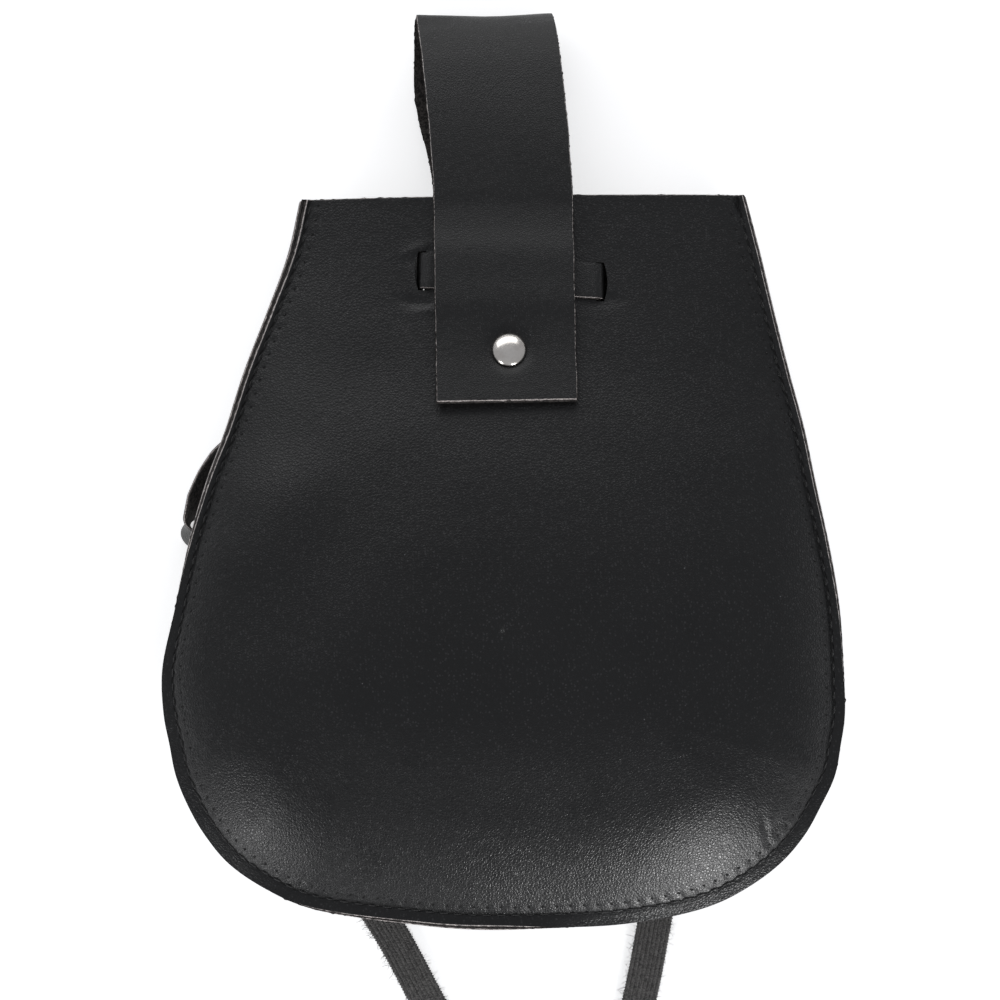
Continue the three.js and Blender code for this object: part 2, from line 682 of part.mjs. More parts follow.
function tapeBand(tape) {
  const heading = tapeHeading(tape);
  const across = new THREE.Vector3(-heading.y, heading.x, 0);
  const frames = bandFrames(tapeCurve(tape), () => across, tapeSteps, false);
  return sweptBand(frames, tapeWidth, tapeThickness, tapeEdgeInset, 1, false);
}

function tapeSlot(tape) {
  const heading = tapeHeading(tape);
  const turn = Math.atan2(heading.x, -heading.y);
  const shift = tapeSlotWidth * 0.12;
  const [x, y] = [tape.x + heading.x * shift, tape.y + heading.y * shift];
  return plainSlot(x, y, tapeWidth + slotEase, tapeSlotWidth, turn);
}

const leather = { color: 0x222326, roughness: 0.55, metalness: 0 };
const nickel = { color: 0xc9c6c0, roughness: 0.2, metalness: 1 };
const webbing = { color: 0x3a3a3c, roughness: 0.95, metalness: 0 };

function part(name, geometry, finish) {
  const mesh = new THREE.Mesh(geometry, new THREE.MeshStandardMaterial(finish));
  mesh.name = name;
  return mesh;
}

function backPanel() {
  const bottom = 0;
  const top = 4 * backDepth;
  const slots = [roundSlot(slotLeft, -1), roundSlot(slotRight, 1)].map((shape) => cutterOf(shape, bottom, top));
  return pierced(panelSheet(1), [...slots, rivetHole()]);
}

function frontPanel() {
  const slots = [slotLeft, slotRight].map((x) => plainSlot(x, bridgeHeight(x), slotWidth, slotLength, 0));
  const shapes = [...slots, ...Object.values(tapeRoutes).map(tapeSlot)];
  return pierced(panelSheet(-1), shapes.map((shape) => cutterOf(shape, -clearance, seamHeight)));
}

const pouch = new THREE.Group();
const body = [
  part('back_panel', backPanel(), leather),
  part('front_panel', frontPanel(), leather),
  part('belt_strap', pierced(strapBand(), [rivetHole()]), leather),
  part('rivet', rivetSolid(), nickel),
  part('closure_strip', stripBand(), leather),
];
pouch.add(...body);
pouch.add(...Object.entries(tapeRoutes).map(([name, tape]) => part(name, tapeBand(tape), webbing)));

// The origin is under the middle of the pouch without its tapes.
const box = new THREE.Box3();
body.forEach((mesh) => box.expandByObject(mesh));
pouch.position.set(-(box.min.x + box.max.x) / 2, -(box.min.y + box.max.y) / 2, -box.min.z);

export default pouch;
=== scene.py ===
"""A medieval belt pouch of black leather, lying on its front, dressed for a studio picture.

Each sub-assembly is a class with its sizes in millimetres. The working frame of those sizes has x = 0 at the
body's middle, y = 0 at its lowest edge, +Y towards the mouth and z = 0 on the surface; SHIFT takes it to the
frame of the model, in metres.
"""

import logging
import math
from collections.abc import Mapping, Sequence
from dataclasses import dataclass, field
from enum import Enum

import bpy
import numpy as np
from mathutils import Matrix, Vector


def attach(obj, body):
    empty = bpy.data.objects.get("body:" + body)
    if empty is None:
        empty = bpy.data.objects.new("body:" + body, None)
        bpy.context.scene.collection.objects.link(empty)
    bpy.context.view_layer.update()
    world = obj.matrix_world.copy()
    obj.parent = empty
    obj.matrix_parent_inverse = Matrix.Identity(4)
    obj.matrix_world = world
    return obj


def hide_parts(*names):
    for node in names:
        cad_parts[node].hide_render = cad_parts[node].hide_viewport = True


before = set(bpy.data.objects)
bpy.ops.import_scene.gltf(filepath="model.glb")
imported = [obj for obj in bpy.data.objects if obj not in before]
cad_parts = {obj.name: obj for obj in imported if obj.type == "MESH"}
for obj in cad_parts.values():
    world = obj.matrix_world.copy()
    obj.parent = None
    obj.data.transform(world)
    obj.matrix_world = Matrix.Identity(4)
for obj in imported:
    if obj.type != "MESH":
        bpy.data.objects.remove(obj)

LOG = logging.getLogger("belt_pouch")
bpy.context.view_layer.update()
MM = 0.001
SHIFT = np.array((0.086, -129.507, 0.0))
SOCKET = bpy.types.NodeSocket

# The rivet's place on the back, and the depth and reach of the two dips round it, in millimetres
RIVET_AT = (1.4, 162.0)
WIDE_DIP = (0.55, 6.5)
DEEP_DIP = (1.3, 5.2)


class Side(Enum):
    """The two leather panels of the body, by the way their grain faces."""

    BACK = 1
    FRONT = -1


class Layer(Enum):
    """What a face of a leather sheet shows; the value is the place among the sheet's materials."""

    GRAIN = 0
    CORE = 1
    BACKING = 2


class Rim(Enum):
    """Which sides of a sheet's grid are cut edges."""

    ALL = "all"
    NOT_LAST_COLUMN = "not_last_column"
    BOTH_COLUMNS = "both_columns"


# Tables of the body, with the numbers of its solids apart from the lowest turn in SLACK

Table = Mapping[str, np.ndarray]


def table(names: str, *rows: Sequence[float]) -> Table:
    """Columns by name.

    Args:
        names: the names of the columns, with spaces between.
        rows: one row of numbers each.

    Returns:
        One array for each name.
    """
    return dict(zip(names.split(), np.array(rows, float).T))


# height is a share of the body's height, left and right are the outline's reach as shares of its half width,
# seam is the seam's height and back and front are the depths of the two panels, all as shares of their sizes.
SECTIONS = table(
    "height left right seam back front",
    (0, 0.07, 0, 0.97, 0.8, 0.95),
    (0.0068, 0.268, 0.326, 0.97, 0.81, 0.95),
    (0.0272, 0.566, 0.565, 0.98, 0.83, 0.96),
    (0.0476, 0.672, 0.674, 0.98, 0.84, 0.97),
    (0.0884, 0.801, 0.803, 0.99, 0.88, 0.98),
    (0.129, 0.874, 0.88, 1, 0.91, 0.99),
    (0.17, 0.924, 0.93, 1, 0.94, 1),
    (0.211, 0.959, 0.971, 1, 0.96, 1),
    (0.252, 0.977, 0.988, 1, 0.98, 1),
    (0.292, 0.994, 1, 0.99, 1, 0.99),
    (0.354, 1, 0.997, 0.97, 1, 0.95),
    (0.435, 0.967, 0.985, 0.95, 0.96, 0.91),
    (0.517, 0.931, 0.956, 0.92, 0.89, 0.84),
    (0.61, 0.874, 0.914, 0.87, 0.76, 0.68),
    (0.68, 0.818, 0.884, 0.81, 0.65, 0.54),
    (0.762, 0.762, 0.839, 0.73, 0.52, 0.43),
    (0.844, 0.695, 0.796, 0.67, 0.42, 0.34),
    (0.925, 0.633, 0.755, 0.61, 0.35, 0.28),
    (1, 0.598, 0.713, 0.56, 0.31, 0.24),
)

# The flange from the left end of the mouth (0) round to the right end (1): its width, how far it is turned up
# and how far the front panel's cut edge stands out, as shares of their sizes.
FLANGE = table(
    "along width turn step",
    (0, 0.755, 1, 1),
    (0.055, 0.68, 0.63, 0.66),
    (0.11, 0.68, 0.63, 0.66),
    (0.14, 0.66, 0.45, 0.5),
    (0.18, 0.65, 0.3, 0.35),
    (0.21, 0.65, 0, 0),
    (0.24, 0.68, -0.3, 0.1),
    (0.27, 0.78, -0.5, 0.1),
    (0.31, 0.86, -0.5, 0.1),
    (0.36, 0.95, -0.45, 0.3),
    (0.39, 0.98, -0.05, 0.6),
    (0.5, 1, 0.3, 0.95),
    (0.525, 0.99, 0, 0.7),
    (0.55, 0.98, -0.5, 0.4),
    (0.58, 0.98, -0.7, 0.4),
    (0.635, 0.95, -0.55, 0.3),
    (0.69, 0.85, -0.2, 0.3),
    (0.72, 0.8, 0, 0.3),
    (0.8, 0.68, 0.4, 0.3),
    (1, 0.66, 0.45, 0.4),
)

# How far the cut edges are skived, so that their pale core shows from above, as a share of the greatest.
SKIVING = table(
    "along share",
    (0, 0.8),
    (0.14, 0.8),
    (0.2, 0.55),
    (0.26, 0),
    (0.38, 0),
    (0.405, 0.8),
    (0.5, 1),
    (0.53, 0.15),
    (0.6, 0),
    (0.74, 0),
    (0.8, 0.45),
    (1, 0.55),
)

# Soft folds of the back panel: place, length and width as shares of the body, turn in degrees and depth as a
# share of the back's.
FOLDS = table(
    "aside height length width turn depth",
    (-0.68, 0.57, 0.4, 0.14, 33, 0.07),
    (-0.7, 0.45, 0.3, 0.17, 50, -0.07),
    (-0.2, 0.7, 0.5, 0.2, 60, -0.04),
    (0.62, 0.62, 0.5, 0.16, 105, -0.05),
    (0.55, 0.17, 0.3, 0.15, 25, 0.06),
    (-0.62, 0.16, 0.3, 0.13, 130, 0.05),
)

# Sharp creases and small dents in the grain of the back, in millimetres and degrees.
CREASES = table(
    "x y length width turn depth",
    (72.6, 29.2, 4.2, 0.6, 100, 0.5),
    (75.6, 29.6, 3.6, 0.6, 58, 0.42),
    (70.8, 27.6, 3.2, 1.4, 95, -0.16),
    (74.6, 31.0, 3.0, 1.0, 80, -0.12),
    (-22.4, 189.6, 3.6, 1.4, 35, 0.5),
    (-24.4, 175.4, 4.2, 1.5, -20, 0.6),
    (-19.5, 173.9, 4.0, 1.3, 5, -0.45),
    (-24.5, 190.8, 3.8, 1.4, 20, -0.4),
    (29.0, 176.0, 4.0, 1.6, 15, 0.4),
    (65.6, 204.6, 1.0, 5.0, 20, 0.5),
)

# The strap beyond the mouth, from its outer layer round the fold to the inner one.
LOOP = table(
    "reach rise aside",
    (0.28, 1.2, -0.03),
    (0.55, 1.06, -0.063),
    (0.78, 0.87, -0.096),
    (0.93, 0.65, -0.125),
    (0.985, 0.44, -0.145),
    (0.94, 0.23, -0.155),
    (0.8, 0.125, -0.16),
    (0.6, 0.17, -0.155),
    (0.42, 0.36, -0.11),
    (0.24, 0.68, -0.05),
)

# The closure strip's slack beside and under the left edge, with its lowest turn a little nearer to the seam
# than in the solid; inset is in widths of the strip, and wx, wy and wz are the direction across it.
SLACK = table(
    "height inset wx wy wz",
    (0.868, 2.65, -0.35, 0.93, 0),
    (0.818, 2, -0.7, 0.7, 0),
    (0.767, 1.74, -0.75, 0.65, 0),
    (0.728, 1.2, -0.65, 0.65, -0.25),
    (0.697, 0.58, -0.1, 0.35, -0.85),
    (0.672, 0.2, 0.3, 0.1, -0.95),
    (0.641, -0.06, 0.48, 0, -0.87),
    (0.614, -0.14, 0.6, 0, -0.8),
    (0.587, -0.24, 0.55, -0.05, -0.83),
    (0.562, -0.34, 0.12, -0.18, -0.97),
    (0.538, -0.22, -0.42, -0.3, -0.92),
    (0.517, 0.38, -0.3, 0, -0.9),
    (0.511, 0.92, 0, 0.68, -0.6),
    (0.512, 1.5, 0, 0.95, -0.22),
    (0.527, 2, -0.6, 0.8, 0),
    (0.563, 2.15, -0.8, 0.55, 0),
    (0.612, 2.5, -0.75, 0.65, 0),
    (0.665, 3.4, -0.6, 0.8, 0),
    (0.728, 5, -0.55, 0.83, 0),
    (0.82, 6.6, -0.5, 0.86, 0),
    (0.873, 7.8, -0.28, 0.96, 0),
)


# Curves and small geometry


def smooth_max(a: np.ndarray, b: np.ndarray | float, blend: float) -> np.ndarray:
    """The greater of two heights, with the corner between them rounded over about blend."""
    return 0.5 * (a + b + np.sqrt((a - b) ** 2 + blend**2))


def smooth_min(a: np.ndarray, b: np.ndarray | float, blend: float) -> np.ndarray:
    """The lesser of two heights, with the corner between them rounded over about blend."""
    return -smooth_max(-a, -b, blend)


def unit(vectors: np.ndarray) -> np.ndarray:
    """The vectors at length one."""
    return vectors / np.linalg.norm(vectors, axis=-1, keepdims=True)


def between(a: np.ndarray, b: np.ndarray, share: np.ndarray | float) -> np.ndarray:
    """The place a share of the way from a to b."""
    return a + (b - a) * share


class Route:
    """A smooth curve through points, centripetal as in the solids, measured along its length."""

    DENSE = 40

    def __init__(self, points: np.ndarray, closed: bool = False) -> None:
        """Lay the curve.

        Args:
            points: the places it goes through, one row each.
            closed: whether it comes back to its first place.
        """
        p = np.asarray(points, float)
        if closed:
            ext = np.vstack([p[-1:], p, p[:2]])
        else:
            ext = np.vstack([2 * p[:1] - p[1:2], p, 2 * p[-1:] - p[-2:-1]])
        t = (np.arange(self.DENSE) / self.DENSE)[:, None]
        samples = []
        for i in range(len(ext) - 3):
            samples.append(self._span(*ext[i : i + 4], t))
        samples.append(ext[-2:-1])
        self.samples = np.vstack(samples)
        steps = np.linalg.norm(np.diff(self.samples, axis=0), axis=1)
        self.lengths = np.concatenate([[0], np.cumsum(steps)])
        self.length = float(self.lengths[-1])
        self.point_shares = self.lengths[:: self.DENSE] / self.length

    @staticmethod
    def _span(a: np.ndarray, b: np.ndarray, c: np.ndarray, d: np.ndarray, t: np.ndarray) -> np.ndarray:
        """One span from b to c, with a and d as the neighbours, at the shares t."""
        k0, k1, k2 = (max(np.linalg.norm(q - p) ** 0.5, 1e-4) for p, q in ((a, b), (b, c), (c, d)))
        m1 = ((b - a) / k0 - (c - a) / (k0 + k1) + (c - b) / k1) * k1
        m2 = ((c - b) / k1 - (d - b) / (k1 + k2) + (d - c) / k2) * k1
        return b + m1 * t + (3 * (c - b) - 2 * m1 - m2) * t**2 + (2 * (b - c) + m1 + m2) * t**3

    def at(self, shares: np.ndarray) -> np.ndarray:
        """The places at the given shares of the curve's length."""
        want = np.asarray(shares) * self.length
        return np.stack([np.interp(want, self.lengths, column) for column in self.samples.T], axis=-1)

    def heading(self, shares: np.ndarray) -> np.ndarray:
        """The directions of travel at the given shares of the curve's length."""
        reach = 0.4 / self.length
        low = np.clip(np.asarray(shares) - reach, 0, 1)
        high = np.clip(np.asarray(shares) + reach, 0, 1)
        return unit(self.at(high) - self.at(low))


def grid_quads(number: np.ndarray) -> np.ndarray:
    """The quads between the places of a grid of numbers."""
    corners = (number[:-1, :-1], number[1:, :-1], number[1:, 1:], number[:-1, 1:])
    return np.stack(corners, axis=-1).reshape(-1, 4)


def tube_quads(number: np.ndarray) -> np.ndarray:
    """The quads between the rings of a tube, with the numbers of one ring in each row."""
    after = np.roll(number, -1, axis=1)
    return np.stack([number[:-1], after[:-1], after[1:], number[1:]], axis=-1).reshape(-1, 4)


def ripple(x: np.ndarray, y: np.ndarray, seed: int, wave: float, height: float) -> np.ndarray:
    """A gentle unevenness of a surface.

    Args:
        x: places along X, in millimetres.
        y: places along Y.
        seed: of the random directions.
        wave: the shortest wave's length in millimetres.
        height: how far it rises and falls.

    Returns:
        The rise at each place.
    """
    rng = np.random.default_rng(seed)
    total = np.zeros_like(np.asarray(x, float))
    count = 7
    for _ in range(count):
        turn, phase = rng.uniform(0, math.tau, 2)
        stretch = wave * rng.uniform(1, 2.4)
        total += np.sin((x * math.cos(turn) + y * math.sin(turn)) * math.tau / stretch + phase)
    return total * height / math.sqrt(count)


def bumps(x: np.ndarray, y: np.ndarray, rows: Table) -> np.ndarray:
    """The summed depth at given places of long soft dents, one for each row of a table."""
    total = np.zeros_like(np.asarray(x, float))
    names = ("x", "y", "length", "width", "turn", "depth")
    for cx, cy, length, width, turn, depth in zip(*(rows[name] for name in names)):
        c, s = math.cos(math.radians(turn)), math.sin(math.radians(turn))
        along = ((x - cx) * c + (y - cy) * s) / length
        across = ((y - cy) * c - (x - cx) * s) / width
        total += depth * np.exp(-(along**2) - across**2)
    return total


def finished_object(
    name: str,
    points: np.ndarray,
    faces: np.ndarray,
    layers: np.ndarray,
    materials: Sequence[bpy.types.Material],
    fields: Mapping[str, np.ndarray] | None = None,
    sharp: float = 50.0,
) -> bpy.types.Object:
    """Make an object from quads in working millimetres, with places that coincide joined.

    Args:
        name: the piece's name.
        points: one row for each place.
        faces: one row of four numbers for each quad.
        layers: the material's place for each quad.
        materials: the materials.
        fields: values for each place, kept on the mesh under their names.
        sharp: the angle in degrees over which an edge stays sharp.

    Returns:
        The new object, riding on the body.
    """
    keys = np.round(points / 2e-4).astype(np.int64)
    _, first, places = np.unique(keys, axis=0, return_index=True, return_inverse=True)
    places = places.reshape(-1)
    quads = places[faces]
    polygons: list[list[int]] = []
    kept: list[int] = []
    simple = np.all(np.diff(np.sort(quads, axis=1), axis=1) > 0, axis=1)
    for quad, is_simple, layer in zip(quads.tolist(), simple.tolist(), layers.tolist()):
        corners = quad if is_simple else list(dict.fromkeys(quad))
        if len(corners) > 2:
            polygons.append(corners)
            kept.append(layer)
    mesh = bpy.data.meshes.new(name)
    mesh.from_pydata(((points[first] + SHIFT) * MM).tolist(), [], polygons)
    for material in materials:
        mesh.materials.append(material)
    mesh.polygons.foreach_set("material_index", kept)
    mesh.polygons.foreach_set("use_smooth", [True] * len(polygons))
    for key, values in (fields or {}).items():
        store = mesh.attributes.new(key, "FLOAT", "POINT")
        store.data.foreach_set("value", np.asarray(values, np.float32)[first] * np.float32(MM))
    mesh.set_sharp_from_angle(angle=math.radians(sharp))
    mesh.update()
    piece = bpy.data.objects.new(name, mesh)
    bpy.context.scene.collection.objects.link(piece)
    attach(piece, "root")
    LOG.info("%s: %d faces", name, len(polygons))
    return piece


def rim_loops(rows: int, columns: int, rim: Rim) -> list[np.ndarray]:
    """The numbers of the places round the cut edges of a grid.

    Args:
        rows: the number of rows.
        columns: the number of columns.
        rim: which sides are cut edges.

    Returns:
        One loop of numbers for each edge that goes all round; each comes back to its first place.
    """
    number = np.arange(rows * columns).reshape(rows, columns)
    if rim is Rim.BOTH_COLUMNS:
        near = np.append(number[:, 0], number[0, 0])
        far = np.append(number[:, -1], number[0, -1])
        return [near, far[::-1]]
    loop = [*number[:, 0], *number[-1, 1:]]
    if rim is Rim.ALL:
        loop += [*number[-2::-1, -1]]
    loop += [*number[0, -2::-1]] if rim is Rim.ALL else [*number[0, ::-1]]
    return [np.array(loop)]


@dataclass(frozen=True)
class SheetCut:
    """How a cut edge shows the layers of the leather, from the grain to the backing."""

    shares: tuple[float, ...] = (0, 0.12, 0.44, 0.72, 1)
    layers: tuple[Layer, ...] = (Layer.GRAIN, Layer.CORE, Layer.BACKING, Layer.BACKING)
    rough: tuple[float, ...] = (0, 0.02, 0.06, 0.14, 0)


def leather_sheet(
    name: str,
    grain: np.ndarray,
    back: np.ndarray,
    rim: Rim,
    flip: bool,
    materials: Sequence[bpy.types.Material],
    fields: Mapping[str, np.ndarray],
    seed: int,
    cut: SheetCut = SheetCut(),
) -> bpy.types.Object:
    """A closed sheet of leather between two grids of places.

    Args:
        name: the piece's name.
        grain: the places of the grain side, rows by columns by three.
        back: the places of the backing side, the same shape.
        rim: which sides of the grid are cut edges.
        flip: whether the grain side faces the other way than rows crossed with columns.
        materials: of the grain, the core and the backing.
        fields: values for each place of the grid.
        seed: of the rough cut edges.
        cut: how the cut edges show the layers.

    Returns:
        The new object.
    """
    rows, columns = grain.shape[:2]
    number = np.arange(rows * columns).reshape(rows, columns)
    if rim is Rim.BOTH_COLUMNS:
        number = np.vstack([number, number[:1]])
    quads = grid_quads(number)
    size = rows * columns
    points = [grain.reshape(-1, 3), back.reshape(-1, 3)]
    faces = [quads, quads[:, ::-1] + size]
    layers = [np.full(len(quads), Layer.GRAIN.value), np.full(len(quads), Layer.BACKING.value)]
    values = {key: [value.reshape(-1), value.reshape(-1)] for key, value in fields.items()}
    rng = np.random.default_rng(seed)
    base = 2 * size
    for loop in rim_loops(rows, columns, rim):
        ring = loop[:-1]
        count = len(ring)
        lines = [ring]
        for share, rough in list(zip(cut.shares, cut.rough))[1:-1]:
            row = between(points[0][ring], points[1][ring], share) + rng.normal(0, rough, (count, 3))
            points.append(row)
            lines.append(np.arange(count) + base)
            for key, value in fields.items():
                values[key].append(value.reshape(-1)[ring])
            base += count
        lines.append(ring + size)
        after = np.roll(np.arange(count), -1)
        for upper, lower, layer in zip(lines[:-1], lines[1:], cut.layers):
            strip = np.stack([upper, lower, lower[after], upper[after]], axis=-1)
            faces.append(strip)
            layers.append(np.full(count, layer.value))
    all_faces = np.vstack(faces)
    if flip:
        all_faces = all_faces[:, ::-1]
    joined = {key: np.concatenate(value) for key, value in values.items()}
    return finished_object(name, np.vstack(points), all_faces, np.concatenate(layers), materials, joined)


def prism(name: str, outline: np.ndarray, low: float, high: float) -> bpy.types.Object:
    """A cutter: an outline in plan pulled up between two heights, in working millimetres."""
    count = len(outline)
    points = np.vstack([np.column_stack([outline, np.full(count, z)]) for z in (low, high)])
    ring = list(range(count))
    polygons = [ring[::-1], [i + count for i in ring]]
    polygons += [[i, (i + 1) % count, (i + 1) % count + count, i + count] for i in ring]
    mesh = bpy.data.meshes.new(name)
    mesh.from_pydata(((points + SHIFT) * MM).tolist(), [], polygons)
    cutter = bpy.data.objects.new(name, mesh)
    bpy.context.scene.collection.objects.link(cutter)
    return cutter


def cut_through(piece: bpy.types.Object, outlines: Sequence[np.ndarray], low: float, high: float) -> None:
    """Cut outlines in plan right through a piece, with the backing's material inside each cut.

    Args:
        piece: the leather piece.
        outlines: the outlines, each one array of places in plan.
        low: the cutters' lowest height.
        high: their highest.
    """
    for i, outline in enumerate(outlines):
        cutter = prism(f"cutter_{i}", outline, low, high)
        for material in piece.data.materials:
            cutter.data.materials.append(material)
        cutter.data.polygons.foreach_set("material_index", [Layer.BACKING.value] * len(cutter.data.polygons))
        modifier = piece.modifiers.new("cut", "BOOLEAN")
        modifier.operation = "DIFFERENCE"
        modifier.solver = "EXACT"
        modifier.object = cutter
        graph = bpy.context.evaluated_depsgraph_get()
        made = bpy.data.meshes.new_from_object(piece.evaluated_get(graph))
        piece.modifiers.remove(modifier)
        old = piece.data
        piece.data = made
        bpy.data.meshes.remove(old)
        block = cutter.data
        bpy.data.objects.remove(cutter)
        bpy.data.meshes.remove(block)


# Materials


class Tree:
    """A node tree that is filled by short calls."""

    def __init__(self, tree: bpy.types.NodeTree) -> None:
        """Take over a tree."""
        self.tree = tree

    def feed(self, node: bpy.types.Node, inputs: Mapping[str | int, object]) -> None:
        """Give a node its inputs.

        Args:
            node: the node.
            inputs: a value or another node's output for each input.
        """
        for key, value in inputs.items():
            if isinstance(value, SOCKET):
                self.tree.links.new(value, node.inputs[key])
            else:
                node.inputs[key].default_value = value

    def add(
        self, kind: str, inputs: Mapping[str | int, object] | None = None, **settings: object
    ) -> bpy.types.Node:
        """Add a node.

        Args:
            kind: the node's type.
            inputs: a value or another node's output for each named input.
            settings: the node's own settings.

        Returns:
            The new node.
        """
        node = self.tree.nodes.new(kind)
        for key, value in settings.items():
            setattr(node, key, value)
        self.feed(node, inputs or {})
        return node

    def math(self, operation: str, a: SOCKET | float, b: SOCKET | float = 0.0) -> SOCKET:
        """The result of an operation on two values."""
        return self.add("ShaderNodeMath", {0: a, 1: b}, operation=operation).outputs[0]

    def span(self, value: SOCKET, low: float, high: float) -> SOCKET:
        """A value taken smoothly from the span low to high to the span 0 to 1."""
        inputs = {"Value": value, "From Min": low, "From Max": high}
        return self.add("ShaderNodeMapRange", inputs, interpolation_type="SMOOTHSTEP").outputs["Result"]

    def noise(self, vector: SOCKET, scale: float, detail: float = 3.0, rough: float = 0.55) -> SOCKET:
        """The value of a noise."""
        inputs = {"Vector": vector, "Scale": scale, "Detail": detail, "Roughness": rough}
        return self.add("ShaderNodeTexNoise", inputs).outputs[0]

    def mix(self, share: SOCKET | float, a: object, b: object) -> SOCKET:
        """A colour between two others."""
        return self.add("ShaderNodeMix", {0: share, 6: a, 7: b}, data_type="RGBA").outputs[2]

    def normal(self, height: SOCKET, depth: float, strength: float = 1.0) -> SOCKET:
        """The normal of a surface whose relief is a height times a depth in metres."""
        inputs = {"Height": height, "Strength": strength, "Distance": depth}
        return self.add("ShaderNodeBump", inputs).outputs["Normal"]

    def group(self, tree: bpy.types.NodeTree, inputs: Mapping[str, object]) -> bpy.types.NodeOutputs:
        """The outputs of a node group with the given inputs."""
        return self.add("ShaderNodeGroup", inputs, node_tree=tree).outputs

    def place(self) -> SOCKET:
        """The place on the piece itself, in metres."""
        return self.add("ShaderNodeTexCoord").outputs["Object"]

    def field(self, name: str) -> SOCKET:
        """The value that a mesh keeps under a name."""
        return self.add("ShaderNodeAttribute", attribute_name=name).outputs["Fac"]


def new_group(
    name: str, inputs: Mapping[str, float | None], outputs: Sequence[str]
) -> tuple[Tree, bpy.types.Node, bpy.types.Node]:
    """Start a node group.

    Args:
        name: the group's name.
        inputs: the default of each named input; one whose default is None is a vector.
        outputs: the names of its outputs, all values.

    Returns:
        The tree with its input and output nodes.
    """
    group = bpy.data.node_groups.new(name, "ShaderNodeTree")
    for key, value in inputs.items():
        kind = "NodeSocketVector" if value is None else "NodeSocketFloat"
        socket = group.interface.new_socket(key, in_out="INPUT", socket_type=kind)
        if value is not None:
            socket.default_value = value
    for key in outputs:
        group.interface.new_socket(key, in_out="OUTPUT", socket_type="NodeSocketFloat")
    tree = Tree(group)
    return tree, tree.add("NodeGroupInput"), tree.add("NodeGroupOutput")


